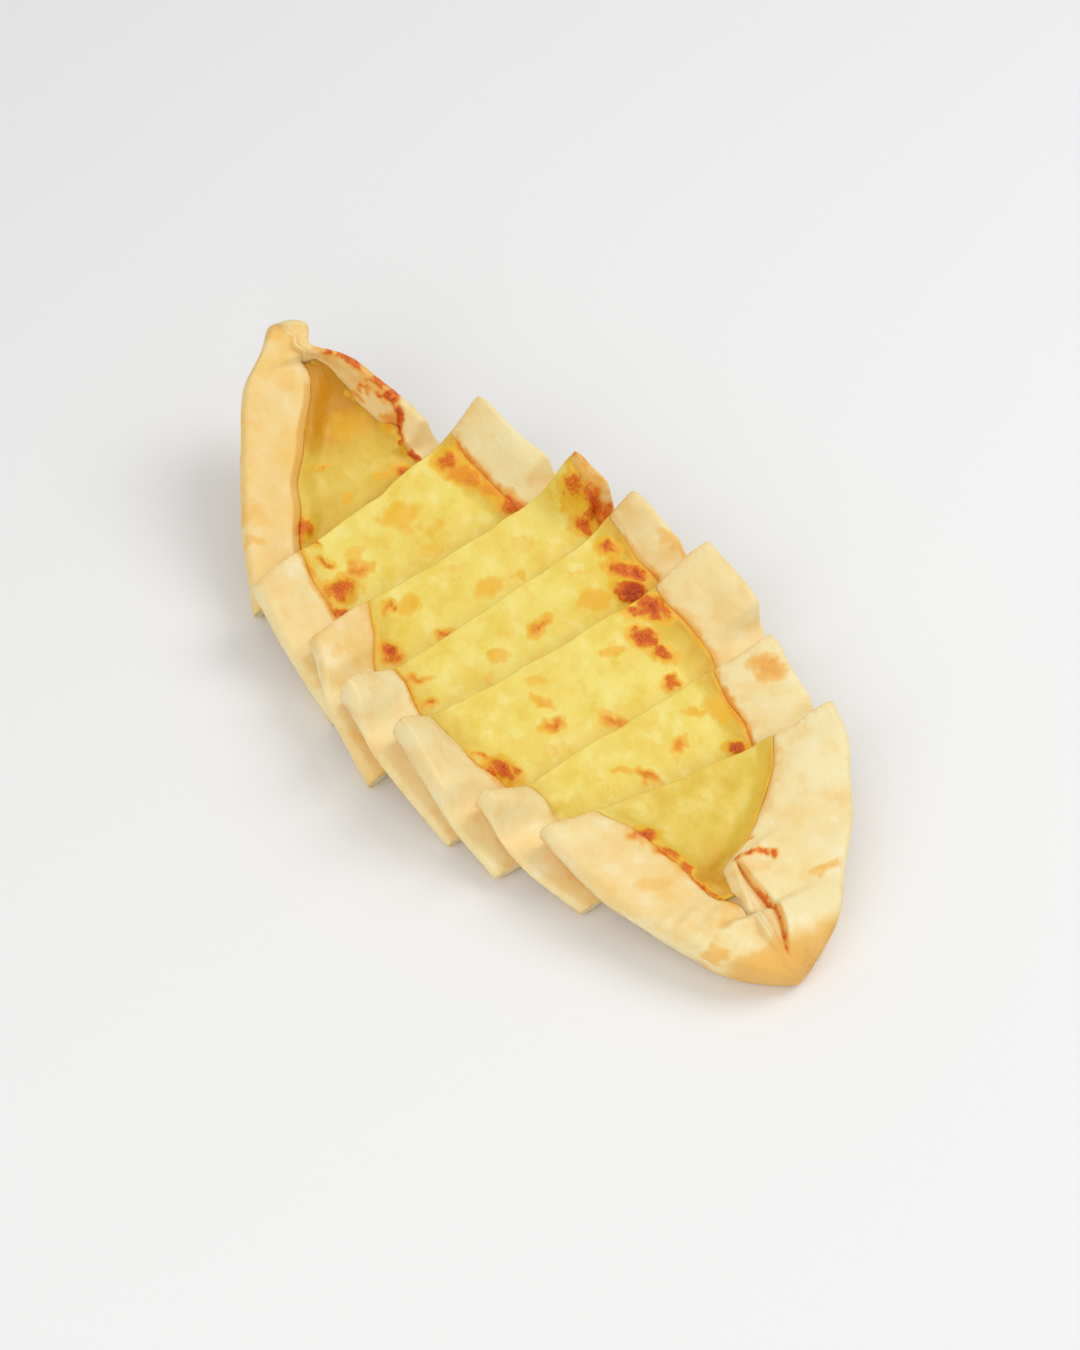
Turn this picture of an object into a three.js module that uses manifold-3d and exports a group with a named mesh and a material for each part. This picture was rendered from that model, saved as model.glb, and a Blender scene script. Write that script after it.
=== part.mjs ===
// Turkish cheese pide: a boat-shaped flatbread with folded rims and a baked cheese filling,
// cut across into seven slices that lie fanned, each one resting on the slice before it.
// Millimetres, +Z up. +X runs from the raised tip to the tip that lies on the table.
import * as THREE from "three";
import Module from "manifold-3d";

const wasm = await Module();
wasm.setup();

// ---- The uncut boat -------------------------------------------------------------------

// Where the boat is cut, measured along it from its first tip to its last.
const CUTS = [0, 94, 147, 199, 257, 312, 355, 431];
const BOAT_LENGTH = CUTS[CUTS.length - 1];
const MIDDLE_HALF_WIDTH = 66;
// Half the width of each tip, how long that half of the outline stays wide from the middle
// (fullness), and how it draws in to its tip: slender at the first tip, round at the last.
// The last stretch of each tip is rounded off (rounding) down to a small end face.
const FIRST_HALF = { tip: 9, fullness: 2.5, point: 1.1, rounding: 8 };
const LAST_HALF = { tip: 11, fullness: 2.2, point: 0.64, rounding: 16 };
const TIP_END_SCALE = 0.35;
// The first tip is pinched into a knob: how far each side is drawn in, where and over what length.
const KNOB_LEFT = { depth: 7, place: 5, length: 16 };
const KNOB_RIGHT = { depth: 8, place: 15.5, length: 7 };

// ---- Dough and cheese -----------------------------------------------------------------

const BASE_MIDDLE = 3.3;
const BASE_SIDE = 4.1;
const CHEESE_THICKNESS = 3.1;
// The cheese climbs to just below the lip of the folded rim, over this width.
const CLIMB_SHORT = 1.1;
const CLIMB_WIDTH = 9;
// The folded flap: its thickness at the lip, and how far the cheese is tucked beneath it.
const FLAP_THICKNESS = 3.2;
const TUCK = 5;
const TUCK_END = 1.5;
const TUCK_CLEARANCE = 0.12;
// How much the flap swells, and how much of it is an easy curve and not straight.
const FLAP_PUFF = 0.45;
const FLAP_EASE = 0.25;
const BELLY = 0.3;
// The crease where the two flaps meet at a tip, and how far below the lip, in parts of its
// depth, its shoulder, wall, foot and edge are.
const CREASE_HALF_WIDTH = 0.9;
const CREASE_DEPTH = 2.1;
const CREASE_TUCK = 0.35;
const CREASE_TO_CROWN = 3.6;
const CREASE_STEPS = { shoulder: 0.3, wall: 0.5, foot: 0.65, edge: 0.8 };
// Where the crease runs at each tip, across the boat.
const FIRST_CREASE = 4;
const LAST_CREASE = -5.5;
const CLOSING_WIDTH = 3;
// How nearly shut the flaps may be, from 0 to 1, where the cheese ends.
const CLOSED_TO_CHEESE = 0.35;
const LIP_ROUND = 1;
// How far back the lower edge of the lip is from its nose, in the open and in the crease.
const LIP_INSET = 0.5;
const CREASE_INSET = 0.15;
// The rolled outer wall of the rim: how far its foot and its crown are rounded in, the foot by no
// more than a share of the half width, and how far up it is widest.
const FOOT_ROUND = 7;
const FOOT_SHARE = 0.55;
const CROWN_ROUND = 2.3;
const WIDEST_AT = 0.45;
// The lip is at least this much lower than the wall.
const LIP_DROP = 0.6;
// Cheese and dough are separate solids with this much air between them.
const GAP = 0.3;
// However hard the rim is pressed, the flap keeps this much dough over the tucked cheese.
const THINNEST_FLAP = 0.4;
// The outer wall keeps this much dough outside the tucked cheese.
const THINNEST_WALL = 3;
const LOWEST_LIP = BASE_SIDE + TUCK_END + GAP + LIP_ROUND + THINNEST_FLAP;
// A rim that carries the next slice ends this far below it, and comes down to it over a short
// run that starts just outside the next slice's far edge.
const PRESS_GAP = 0.8;
const PRESS_LEAD = 13;
const PRESS_RUN = 9;
// A pressed rim takes on the shape of what lies on it, less this small share.
const PRESS_SPRING = 0.03;
// Each slice is set this far into the table and trimmed level, so that it rests on a flat strip.
// The last one is set deeper, because its lower edge is the rounded tip.
const FLAT_STRIP_DEPTH = 0.8;
const TIP_STRIP_DEPTH = 2.7;

// ---- How each slice lies --------------------------------------------------------------

// near: the middle of its lower near edge on the table. yaw, tilt and roll: degrees; tilt lifts
// the far end. Left is the -Y side. Band: width of the folded flap at the far and the near end.
// Spread: how much wider or narrower than the boat it has become, far and near. rim: height of
// the rolled wall where nothing presses on it. droop: how far the middle of the far end sags.
const SLICES = [
  { near: [-70, -20], yaw: -8, tilt: 28.5, roll: 0, leftBand: [27, 24], rightBand: [6, 15],
    leftSpread: [2, -4], rightSpread: [0, 0], leftRim: 15, rightRim: 17, lip: 11.5, droop: 0 },
  { near: [-34, -7], yaw: 11.4, tilt: 22.8, roll: 3.6, leftBand: [21.5, 22],
    rightBand: [13.5, 22], leftSpread: [1, 1], rightSpread: [0, -3], leftRim: 14, rightRim: 22,
    lip: 10.5, droop: 2.5 },
  { near: [2, -8], yaw: 4.5, tilt: 22.2, roll: 1, leftBand: [26, 15], rightBand: [5.5, 14],
    leftSpread: [-5, 1], rightSpread: [-2, 0], leftRim: 15.5, rightRim: 21, lip: 10.5,
    droop: 2.5 },
  { near: [35, -2], yaw: 6, tilt: 19.5, roll: 0.3, leftBand: [22.7, 19], rightBand: [10, 19],
    leftSpread: [0, 0], rightSpread: [-2, 2], leftRim: 18, rightRim: 18.5, lip: 9.8,
    droop: 2.5 },
  { near: [59.5, -2.5], yaw: 1, tilt: 22.6, roll: -0.5, leftBand: [15, 27],
    rightBand: [21.5, 22], leftSpread: [0, 0], rightSpread: [2.5, 3], leftRim: 18.5,
    rightRim: 20.5, lip: 9.4, droop: 1.5 },
  { near: [84.5, 0], yaw: 3, tilt: 21.5, roll: 0, leftBand: [19.5, 22], rightBand: [22, 24],
    leftSpread: [0, -3], rightSpread: [1, 2], leftRim: 17.5, rightRim: 17.5, lip: 9.4,
    droop: 1.5 },
  { near: [146, -8], yaw: -7.8, tilt: 14.2, roll: 0.8, leftBand: [25, 30], rightBand: [19, 50],
    leftSpread: [0, 0], rightSpread: [0, 0], leftRim: 14.5, rightRim: 16.5, lip: 10.5,
    droop: 2 },
];
const LAST = SLICES.length - 1;

// In the two end slices the lips follow these lines: distance from the slice's far end, and
// place across.
const LIP_LINES = {
  firstLeft: [[0, 3], [17.5, 3], [22, 5.3], [28.5, 3.3], [35, -1.9], [44, -7.3], [57, -14.1],
    [76, -22], [94, -27]],
  lastLeft: [[0, -30], [6, -26.6], [16, -20.5], [28, -15.4], [41, -12.9], [47, -8.6],
    [52, -5.5], [76, -5.5]],
  lastRight: [[0, 33.2], [17, 21.3], [25, 12], [30, 5], [33, -4.5], [41, -6.6], [52, -5.5],
    [76, -5.5]],
};
// A line is softened at its bends by taking its mean at these distances.
const SOFTENING = [-2, -1, 0, 1, 2];

// The first slice's right rim stands up along this stretch as a bare wall of this width, and the
// cheese only just climbs it.
const BARE_RIM = { from: 16, rise: 6, to: 44, fade: 13, width: 6, undercut: 2.6, climb: 0.6 };
// The third slice's right rim stands up at its far end, its lip as high as the wall.
const PEAKED_SLICE = 2;
const PEAK = { height: 6.5, reach: 22, lipReach: 34 };

const TIP_RIM = 19;
const TIP_LIP = 14;
const TIP_RISE_LENGTH = 48;
// Part of a tip's height about which it is rounded off.
const TIP_CORE = 0.3;
// How much of a slice's length the droop of its far end reaches along.
const DROOP_REACH = 0.8;

// ---- Unevenness -----------------------------------------------------------------------

// Rims, flaps and cheese wander in two waves: the share of each, its pitch, and how far it is
// shifted from one side to the other.
const WAVES = [
  { share: 0.6, pitch: 1, shift: 2.1 },
  { share: 0.4, pitch: 1.7, shift: -1.3 },
];
const RIM_WAVE = 0.7;
const BAND_WAVE = 0.8;
const CHEESE_WAVE = 0.35;
const RIM_WAVELENGTH = 27;
const CHEESE_WAVELENGTH = 19;
// The cheese's ripples run slanting, and change over this width.
const RIPPLE_SLANT = 0.6;
const RIPPLE_SPREAD = 40;

// Browned crags that stand up from the cheese and from the lips of the rims: slice, distance
// from its far cut, place across it, radius and height.
const CRAGS = [
  [1, 48, 25, 5, 1.4], [1, 64, 25, 4.5, 1], [1, 72, -20, 4.5, 1.1], [2, 6, 34, 5, 1.2],
  [2, 17, 35, 5, 1.2], [2, 32, 39, 6, 1.5], [2, 20, -28, 6.5, 2], [3, 5, 51, 5, 1.8],
  [3, 16, 52, 6, 2], [3, 26, 50, 5.5, 1.6], [3, 18, -32, 5.5, 1.5], [4, 23, 42, 8, 2.6],
  [4, 41, 36, 7, 2.2], [5, 27, -39, 7, 2.2], [5, 15, 19, 5, 0.8], [5, 33, 2, 5.5, 0.8],
  [5, 33, 29, 5.5, 1.1], [6, 27, 28, 6.5, 2], [7, 15, -20, 6, 1.6], [7, 25, -16, 5.5, 1.8],
  [7, 38, -12, 5.5, 1.6], [7, 34, 8, 5.5, 1.6],
];

// ---- Mesh resolution ------------------------------------------------------------------

const RINGS_PER_SLICE = 12;
const RINGS_PER_TIP_SLICE = 20;
const TIP_CROWDING = 1.35;
const CHEESE_TOP_POINTS = 21;
// Where the outline of the dough has its points: parts of the way out along the underside,
// degrees round the rolled wall, parts of the way over the flap, and part of the way to the lip
// on the floor of the trough.
const UNDERSIDE_PARTS = [0.36, 0.72];
const WALL_DEGREES = [-90, -60, -30, 0, 28, 52, 74, 90];
const FLAP_PARTS = [0.2, 0.4, 0.6, 0.8];
const FLOOR_PART = 0.55;
const CHEESE_FLOOR_PARTS = [-1, -0.5, 0, 0.5, 1];
// The table, as a block under the slices.
const TABLE = { length: 600, width: 400, depth: 40 };

const ramp = (from, to, t) => from + (to - from) * t;
const clamp01 = (t) => Math.min(Math.max(t, 0), 1);
const ease = (t) => clamp01(t) ** 2 * (3 - 2 * clamp01(t));

const halfAt = (along) => (along < BOAT_LENGTH / 2 ? FIRST_HALF : LAST_HALF);

// Half of the boat's width at a distance along it, before the tips are rounded off.
function boatHalfWidth(along) {
  const fromMiddle = Math.abs((2 * along) / BOAT_LENGTH - 1);
  const { tip, fullness, point } = halfAt(along);
  return ramp(tip, MIDDLE_HALF_WIDTH, (1 - fromMiddle ** fullness) ** point);
}

// A gentle wave along the boat, different on each side.
function wave(along, wavelength, side) {
  const turn = (2 * Math.PI * along) / wavelength;
  return WAVES.reduce((sum, { share, pitch, shift }) => {
    return sum + share * Math.sin(pitch * turn + shift * side);
  }, 0);
}

// The place across of a line given by a few points, at a distance from the slice's far end.
function lineAt(points, fromFar) {
  const next = points.findIndex(([place]) => place > fromFar);
  if (next === -1) return points[points.length - 1][1];
  if (next === 0) return points[0][1];
  const [[startPlace, start], [endPlace, end]] = [points[next - 1], points[next]];
  return ramp(start, end, (fromFar - startPlace) / (endPlace - startPlace));
}

function softLineAt(points, fromFar) {
  const sum = SOFTENING.reduce((total, d) => total + lineAt(points, fromFar + d), 0);
  return sum / SOFTENING.length;
}

// How far the boat is drawn in on one side behind the knob at its first tip.
function knobWaist(along, sign) {
  if (sign < 0) {
    return KNOB_LEFT.depth * (1 - ease((along - KNOB_LEFT.place) / KNOB_LEFT.length));
  }
  return KNOB_RIGHT.depth * Math.exp(-(((along - KNOB_RIGHT.place) / KNOB_RIGHT.length) ** 2));
}

// How far a place along the boat is from the nearer tip.
const toTip = (along) => Math.min(along, BOAT_LENGTH - along);

// Where a slice lies, as a matrix.
function placement(index) {
  const { near, yaw, tilt, roll } = SLICES[index];
  const turns = [roll, tilt, yaw].map(THREE.MathUtils.degToRad);
  const matrix = new THREE.Matrix4().makeRotationFromEuler(new THREE.Euler(...turns, "ZYX"));
  const depth = index === LAST ? TIP_STRIP_DEPTH : FLAT_STRIP_DEPTH;
  return matrix.setPosition(near[0], near[1], -depth);
}

// How far a slice sags at a place on it: most in the middle of its far end.
function sagAt(index, x, y) {
  const { droop } = SLICES[index];
  const length = CUTS[index + 1] - CUTS[index];
  const fromFar = clamp01((x + length) / length);
  const half = boatHalfWidth(CUTS[index + 1] + x);
  const across = Math.cos((Math.PI / 2) * clamp01(Math.abs(y) / half));
  return droop * (1 - ease(fromFar / DROOP_REACH)) * across;
}

// How high a rim can stand at a place on a slice before it meets the slice that lies on it.
function pressedHeight(index, x, y, free) {
  const next = index + 1;
  if (next > LAST) return free;
  const toNext = placement(next).invert().multiply(placement(index));
  const foot = new THREE.Vector3(x, y, 0).applyMatrix4(toNext);
  const rise = new THREE.Vector3(x, y, 1).applyMatrix4(toNext).z - foot.z;
  const room = (-foot.z - sagAt(next, foot.x, foot.y)) / rise - PRESS_GAP;
  const nextLength = CUTS[next + 1] - CUTS[next];
  const reached = ease((foot.x + nextLength + PRESS_LEAD) / PRESS_RUN);
  const covered = reached * (1 - PRESS_SPRING);
  return ramp(free, Math.min(free, room), covered);
}

// The line that a slice's lip follows on one side, where it has one.
function lipLine(index, sign) {
  if (index === 0 && sign < 0) return LIP_LINES.firstLeft;
  if (index === LAST) return sign < 0 ? LIP_LINES.lastLeft : LIP_LINES.lastRight;
  return null;
}

// How bare the rim is at a cross-section, from 0 to 1.
function bareAt(index, along, sign) {
  if (index > 0 || sign < 0) return 0;
  const { from, rise, to, fade } = BARE_RIM;
  return ease((along - from) / rise) * (1 - ease((along - to) / fade));
}

// The sizes of one side of a cross-section.
function sideAt(slice, index, along, sign) {
  const fromCut = along - CUTS[index];
  const fromFar = fromCut / (CUTS[index + 1] - CUTS[index]);
  const x = along - CUTS[index + 1];
  const isEnd = index === 0 || index === LAST;
  const nearTip = isEnd ? 1 - ease(toTip(along) / TIP_RISE_LENGTH) : 0;
  const bare = bareAt(index, along, sign);
  const [ends, spread, rim] =
    sign < 0
      ? [slice.leftBand, slice.leftSpread, slice.leftRim]
      : [slice.rightBand, slice.rightSpread, slice.rightRim];
  const half = boatHalfWidth(along) + ramp(...spread, fromFar) - knobWaist(along, sign);
  const band = ramp(ramp(...ends, fromFar), BARE_RIM.width, bare);
  const isPeaked = index === PEAKED_SLICE && sign > 0;
  const peak = isPeaked ? PEAK.height * (1 - ease(fromCut / PEAK.reach)) : 0;
  const rimWave = RIM_WAVE * wave(along, RIM_WAVELENGTH, -sign);
  const free = ramp(rim, TIP_RIM, nearTip) + rimWave + peak;
  const wall = pressedHeight(index, x, sign * (half - CROWN_ROUND), free);
  const line = lipLine(index, sign);
  const lipPlace = line ? sign * softLineAt(line, fromCut) : half - band;
  const lipOut = lipPlace - BAND_WAVE * wave(along, RIM_WAVELENGTH, sign);
  const lowLip = Math.min(ramp(slice.lip, TIP_LIP, nearTip), wall - LIP_DROP);
  const raised = isPeaked ? 1 - ease(fromCut / PEAK.lipReach) : bare;
  const freeLip = ramp(lowLip, wall - LIP_DROP, raised);
  const lip = Math.max(pressedHeight(index, x, sign * lipOut, freeLip), LOWEST_LIP);
  return { sign, half, wall, lip, lipOut, bare };
}

// The sizes of one cross-section of a slice.
function sectionAt(slice, index, along) {
  const left = sideAt(slice, index, along, -1);
  const right = sideAt(slice, index, along, 1);

  // The trough lies between the two lips. Towards a tip the flaps meet, and it runs out.
  const lowest = CROWN_ROUND + CREASE_TO_CROWN - left.half;
  const highest = right.half - CROWN_ROUND - CREASE_TO_CROWN;
  const within = (y) =>
    lowest < highest ? THREE.MathUtils.clamp(y, lowest, highest) : (lowest + highest) / 2;
  const opening = Math.max((right.lipOut + left.lipOut) / 2, CREASE_HALF_WIDTH);
  const closed = 1 - ease((opening - CREASE_HALF_WIDTH) / CLOSING_WIDTH);
  const crease = index === 0 ? FIRST_CREASE : LAST_CREASE;
  const middle = ramp(within((right.lipOut - left.lipOut) / 2), within(crease), closed);
  for (const one of [left, right]) {
    one.lipOut = opening + one.sign * middle;
    const open = Math.min(TUCK, one.half - one.lipOut - THINNEST_WALL);
    one.tuck = ramp(open, CREASE_TUCK, closed);
  }
  const rounding = 1 - clamp01(toTip(along) / halfAt(along).rounding);
  const scale = Math.sqrt(1 - (1 - TIP_END_SCALE ** 2) * rounding ** 2);
  return { along, x: along - CUTS[index + 1], left, right, middle, opening, closed, scale };
}

// Height of the dough under the cheese.
function floorHeight(section, y) {
  const side = y < section.middle ? section.left : section.right;
  const t = clamp01(Math.abs(y - section.middle) / section.opening);
  const base = ramp(BASE_MIDDLE, BASE_SIDE, t * t);
  const down = CREASE_DEPTH * ramp(1, CREASE_STEPS.edge, t * t);
  return ramp(base, side.lip - down, section.closed);
}

// How high the crags stand at a place on a slice.
function cragAt(index, fromFar, y) {
  return CRAGS.reduce((sum, [slice, place, across, radius, height]) => {
    const away = Math.hypot(place - fromFar, across - y) / radius;
    return slice === index + 1 && away < 1 ? sum + height * (1 - away * away) ** 2 : sum;
  }, 0);
}

// Heights under the flap: its lower edge at the lip, the roof of the tuck and the floor.
function undercut(section, side) {
  const { closed } = section;
  const floor = floorHeight(section, side.sign * side.lipOut);
  const flapUnder = Math.max(side.lip - FLAP_THICKNESS, floor + TUCK_END + GAP);
  const under = ramp(flapUnder, floor + BARE_RIM.undercut, side.bare);
  return {
    under: ramp(under, side.lip - CREASE_DEPTH * CREASE_STEPS.wall, closed),
    tuckTop: ramp(floor + TUCK_END, side.lip - CREASE_DEPTH * CREASE_STEPS.foot, closed),
    floor,
  };
}

// The baked underside is very slightly full in the middle.
const bellyAt = (part) => BELLY * (part * part - 1);

// One side of the dough's outline, from the table up the rolled wall, over the flap, round its
// lip and under it to the floor of the trough. Distances are from the middle line.
function rimOutline(section, index, side) {
  const { half, lipOut, wall, lip, tuck, sign } = side;
  const { closed, middle, opening, x } = section;
  const foot = Math.min(FOOT_ROUND, FOOT_SHARE * half);
  const points = UNDERSIDE_PARTS.map((part) => [part * (half - foot), bellyAt(part)]);
  for (const degrees of WALL_DEGREES) {
    const turn = THREE.MathUtils.degToRad(degrees);
    const round = degrees < 0 ? foot : CROWN_ROUND;
    const rise = degrees < 0 ? WIDEST_AT : 1 - WIDEST_AT;
    const out = half - round * (1 - Math.cos(turn));
    const free = wall * (WIDEST_AT + rise * Math.sin(turn));
    points.push([out, pressedHeight(index, x, sign * out, free)]);
  }
  const crown = half - CROWN_ROUND;
  const fromFar = section.along - CUTS[index];
  for (const t of FLAP_PARTS) {
    const out = ramp(crown, lipOut + LIP_ROUND, t);
    const puff = FLAP_PUFF * Math.sin(Math.PI * t) + cragAt(index, fromFar, sign * out);
    const free = ramp(wall, lip, ramp(t, ease(t), FLAP_EASE)) + puff;
    points.push([out, pressedHeight(index, x, sign * out, free)]);
  }
  const { under, tuckTop, floor } = undercut(section, side);
  const shoulder = lip - CREASE_DEPTH * CREASE_STEPS.shoulder;
  points.push([lipOut + LIP_ROUND, lip]);
  points.push([lipOut, ramp(lip - LIP_ROUND, shoulder, closed)]);
  points.push([lipOut + ramp(LIP_INSET, CREASE_INSET, closed), under]);
  points.push([lipOut + tuck, tuckTop]);
  points.push([lipOut + tuck, floor]);
  const inner = sign * middle + FLOOR_PART * opening;
  points.push([inner, floorHeight(section, sign * inner)]);
  return points;
}

const toSection = (outline, sign) => outline.map(([out, up]) => [sign * out, up]);

// The closed ring of dough at one cross-section.
function crustRing(section, index) {
  const right = toSection(rimOutline(section, index, section.right), 1);
  const left = toSection(rimOutline(section, index, section.left), -1);
  const floorMiddle = [section.middle, floorHeight(section, section.middle)];
  return placeRing(section, index, [[0, bellyAt(0)], ...right, floorMiddle, ...left.reverse()]);
}

// Moves a ring's points down by the sag, shrinks them at a rounded tip, and sets them in place.
function placeRing(section, index, ring) {
  const core = TIP_CORE * TIP_RIM;
  return ring.map(([y, z]) => {
    const level = z - sagAt(index, section.x, y);
    const up = core + (level - core) * section.scale;
    return new THREE.Vector3(section.x, y * section.scale, up);
  });
}

// Height of the cheese's upper face.
function cheeseTop(section, index, y) {
  const side = y < section.middle ? section.left : section.right;
  const fromLip = section.opening - Math.abs(y - section.middle);
  const flat = floorHeight(section, y) + GAP + CHEESE_THICKNESS;
  const climb = 1 - ease(fromLip / CLIMB_WIDTH);
  const slanted = section.along + RIPPLE_SLANT * y;
  const ripple = CHEESE_WAVE * wave(slanted, CHEESE_WAVELENGTH, 1 + y / RIPPLE_SPREAD);
  const crag = cragAt(index, section.along - CUTS[index], y);
  const climbed = Math.max(side.lip - CLIMB_SHORT, undercut(section, side).under);
  const edge = ramp(climbed, flat + BARE_RIM.climb, side.bare);
  const free = ramp(flat, edge, climb) + (ripple + crag) * clamp01(fromLip / 2);
  return pressedHeight(index, section.x, y, free);
}

// The closed ring of cheese at one cross-section.
function cheeseRing(section, index) {
  const { left, right, middle, opening } = section;
  const bottom = CHEESE_FLOOR_PARTS.map((t) => {
    const tuck = t < 0 ? left.tuck : right.tuck;
    const y = middle + t * (opening + tuck - GAP - TUCK_CLEARANCE);
    return [y, floorHeight(section, y) + GAP];
  });
  const tuckEdge = (side) => {
    const { under, tuckTop } = undercut(section, side);
    const inner = GAP + TUCK_CLEARANCE;
    const edge = [
      [side.lipOut + side.tuck - inner, tuckTop - inner],
      [side.lipOut + TUCK_CLEARANCE, under - inner],
    ];
    return toSection(edge, side.sign);
  };
  const top = [];
  for (let j = 0; j < CHEESE_TOP_POINTS; j++) {
    const y = middle + (opening - GAP) * ramp(1, -1, j / (CHEESE_TOP_POINTS - 1));
    top.push([y, cheeseTop(section, index, y)]);
  }
  const ring = [...bottom, ...tuckEdge(right), ...top, ...tuckEdge(left).reverse()];
  return placeRing(section, index, ring);
}

// A closed solid through rings of equal length, with a flat face at each end. The four-cornered
// faces are halved as mirror images left and right.
function loft(rings) {
  const count = rings[0].length;
  const positions = [];
  const put = (...corners) => corners.forEach((p) => positions.push(p.x, p.y, p.z));
  for (let i = 0; i + 1 < rings.length; i++) {
    for (let j = 0; j < count; j++) {
      const next = (j + 1) % count;
      const [a, b, c, d] = [rings[i][j], rings[i][next], rings[i + 1][next], rings[i + 1][j]];
      if (a.y + b.y < 0) put(a, b, d, b, c, d);
      else put(a, b, c, a, c, d);
    }
  }
  const first = rings[0];
  const last = rings[rings.length - 1];
  const flat = (ring) => ring.map((p) => new THREE.Vector2(p.y, p.z));
  for (const [a, b, c] of THREE.ShapeUtils.triangulateShape(flat(first), [])) {
    put(first[a], first[c], first[b]);
  }
  for (const [a, b, c] of THREE.ShapeUtils.triangulateShape(flat(last), [])) {
    put(last[a], last[b], last[c]);
  }
  return positions;
}

// A manifold solid from a list of triangle corners.
function solidFrom(positions) {
  const places = new Map();
  const vertProperties = [];
  const triVerts = [];
  for (let i = 0; i < positions.length; i += 3) {
    const point = positions.slice(i, i + 3);
    const key = point.map((value) => value.toFixed(4)).join(" ");
    if (!places.has(key)) {
      places.set(key, places.size);
      vertProperties.push(...point);
    }
    triVerts.push(places.get(key));
  }
  return new wasm.Manifold(
    new wasm.Mesh({
      numProp: 3,
      vertProperties: new Float32Array(vertProperties),
      triVerts: new Uint32Array(triVerts),
    }),
  );
}

// A manifold solid back as a three.js geometry.
function geometryFrom(solid) {
  const { vertProperties, triVerts } = solid.getMesh();
  const geometry = new THREE.BufferGeometry();
  geometry.setAttribute("position", new THREE.BufferAttribute(vertProperties, 3));
  geometry.setIndex(new THREE.BufferAttribute(triVerts, 1));
  const faceted = geometry.toNonIndexed();
  faceted.computeVertexNormals();
  return faceted;
}

// The places along the boat where a slice has its rings: closer together near a tip.
function ringPlaces(index) {
  const [from, to] = [CUTS[index], CUTS[index + 1]];
  const isFirst = index === 0;
  const isLast = index === LAST;
  const count = isFirst || isLast ? RINGS_PER_TIP_SLICE : RINGS_PER_SLICE;
  return Array.from({ length: count }, (_, i) => {
    const t = i / (count - 1);
    if (isFirst) return ramp(from, to, t ** TIP_CROWDING);
    if (isLast) return ramp(to, from, (1 - t) ** TIP_CROWDING);
    return ramp(from, to, t);
  });
}

const crustMaterial = () =>
  new THREE.MeshStandardMaterial({ color: 0xecd09a, roughness: 0.75, metalness: 0 });
const cheeseMaterial = () =>
  new THREE.MeshStandardMaterial({ color: 0xeed977, roughness: 0.5, metalness: 0 });

// The table, in a slice's own place, to trim what is set into it.
function tableBlock(index) {
  const { length, width, depth } = TABLE;
  const block = new THREE.BoxGeometry(length, width, depth).translate(0, 0, -depth / 2);
  const toSlice = placement(index).invert();
  return solidFrom([...block.toNonIndexed().applyMatrix4(toSlice).attributes.position.array]);
}

function makeSlice(slice, index) {
  const group = new THREE.Group();
  group.applyMatrix4(placement(index));
  const sections = ringPlaces(index).map((along) => sectionAt(slice, index, along));

  const dough = solidFrom(loft(sections.map((section) => crustRing(section, index))));
  const crust = dough.subtract(tableBlock(index));
  const crustMesh = new THREE.Mesh(geometryFrom(crust), crustMaterial());
  crustMesh.name = `crust_${index + 1}`;

  const filled = sections.filter((section) => section.closed < CLOSED_TO_CHEESE);
  const cheese = solidFrom(loft(filled.map((section) => cheeseRing(section, index))));
  const cheeseMesh = new THREE.Mesh(geometryFrom(cheese), cheeseMaterial());
  cheeseMesh.name = `cheese_${index + 1}`;

  group.add(crustMesh, cheeseMesh);
  return group;
}

const slices = new THREE.Group();
SLICES.forEach((slice, index) => slices.add(makeSlice(slice, index)));

// The whole is centred over the origin.
const pide = new THREE.Group();
pide.add(slices);
const box = new THREE.Box3().setFromObject(slices, true);
slices.position.set(-(box.min.x + box.max.x) / 2, -(box.min.y + box.max.y) / 2, 0);

export default pide;
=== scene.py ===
import math

import bpy
import numpy as np
from mathutils import Euler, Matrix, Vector
from mathutils.geometry import delaunay_2d_cdt


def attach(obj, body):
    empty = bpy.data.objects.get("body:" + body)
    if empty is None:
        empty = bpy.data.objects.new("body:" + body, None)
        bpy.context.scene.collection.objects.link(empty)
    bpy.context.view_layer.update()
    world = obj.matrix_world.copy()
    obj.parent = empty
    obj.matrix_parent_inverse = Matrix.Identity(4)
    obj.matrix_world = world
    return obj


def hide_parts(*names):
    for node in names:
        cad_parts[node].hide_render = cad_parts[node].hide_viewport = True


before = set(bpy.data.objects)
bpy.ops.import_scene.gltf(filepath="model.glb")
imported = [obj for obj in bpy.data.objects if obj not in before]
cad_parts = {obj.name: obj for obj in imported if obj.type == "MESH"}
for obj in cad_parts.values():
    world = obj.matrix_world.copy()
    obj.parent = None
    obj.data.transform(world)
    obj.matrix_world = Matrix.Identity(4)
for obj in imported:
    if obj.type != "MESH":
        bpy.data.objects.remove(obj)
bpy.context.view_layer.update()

MM = 0.001
# Where the row's own origin lies in the frame.
ROW_CENTRE = (0.614, 4.908, 0.0)

# ---- The uncut boat ---------------------------------------------------------------------

CUTS = (0, 94, 147, 199, 257, 312, 355, 431)
LAST = len(CUTS) - 2
BOAT_LENGTH = CUTS[-1]
LEFT, RIGHT = -1, 1
MIDDLE_HALF_WIDTH = 66
FIRST_HALF = {"tip": 9, "fullness": 2.5, "point": 1.1, "rounding": 8}
LAST_HALF = {"tip": 11, "fullness": 2.2, "point": 0.64, "rounding": 16}
TIP_END_SCALE = 0.08

# ---- Dough and cheese -------------------------------------------------------------------

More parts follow.
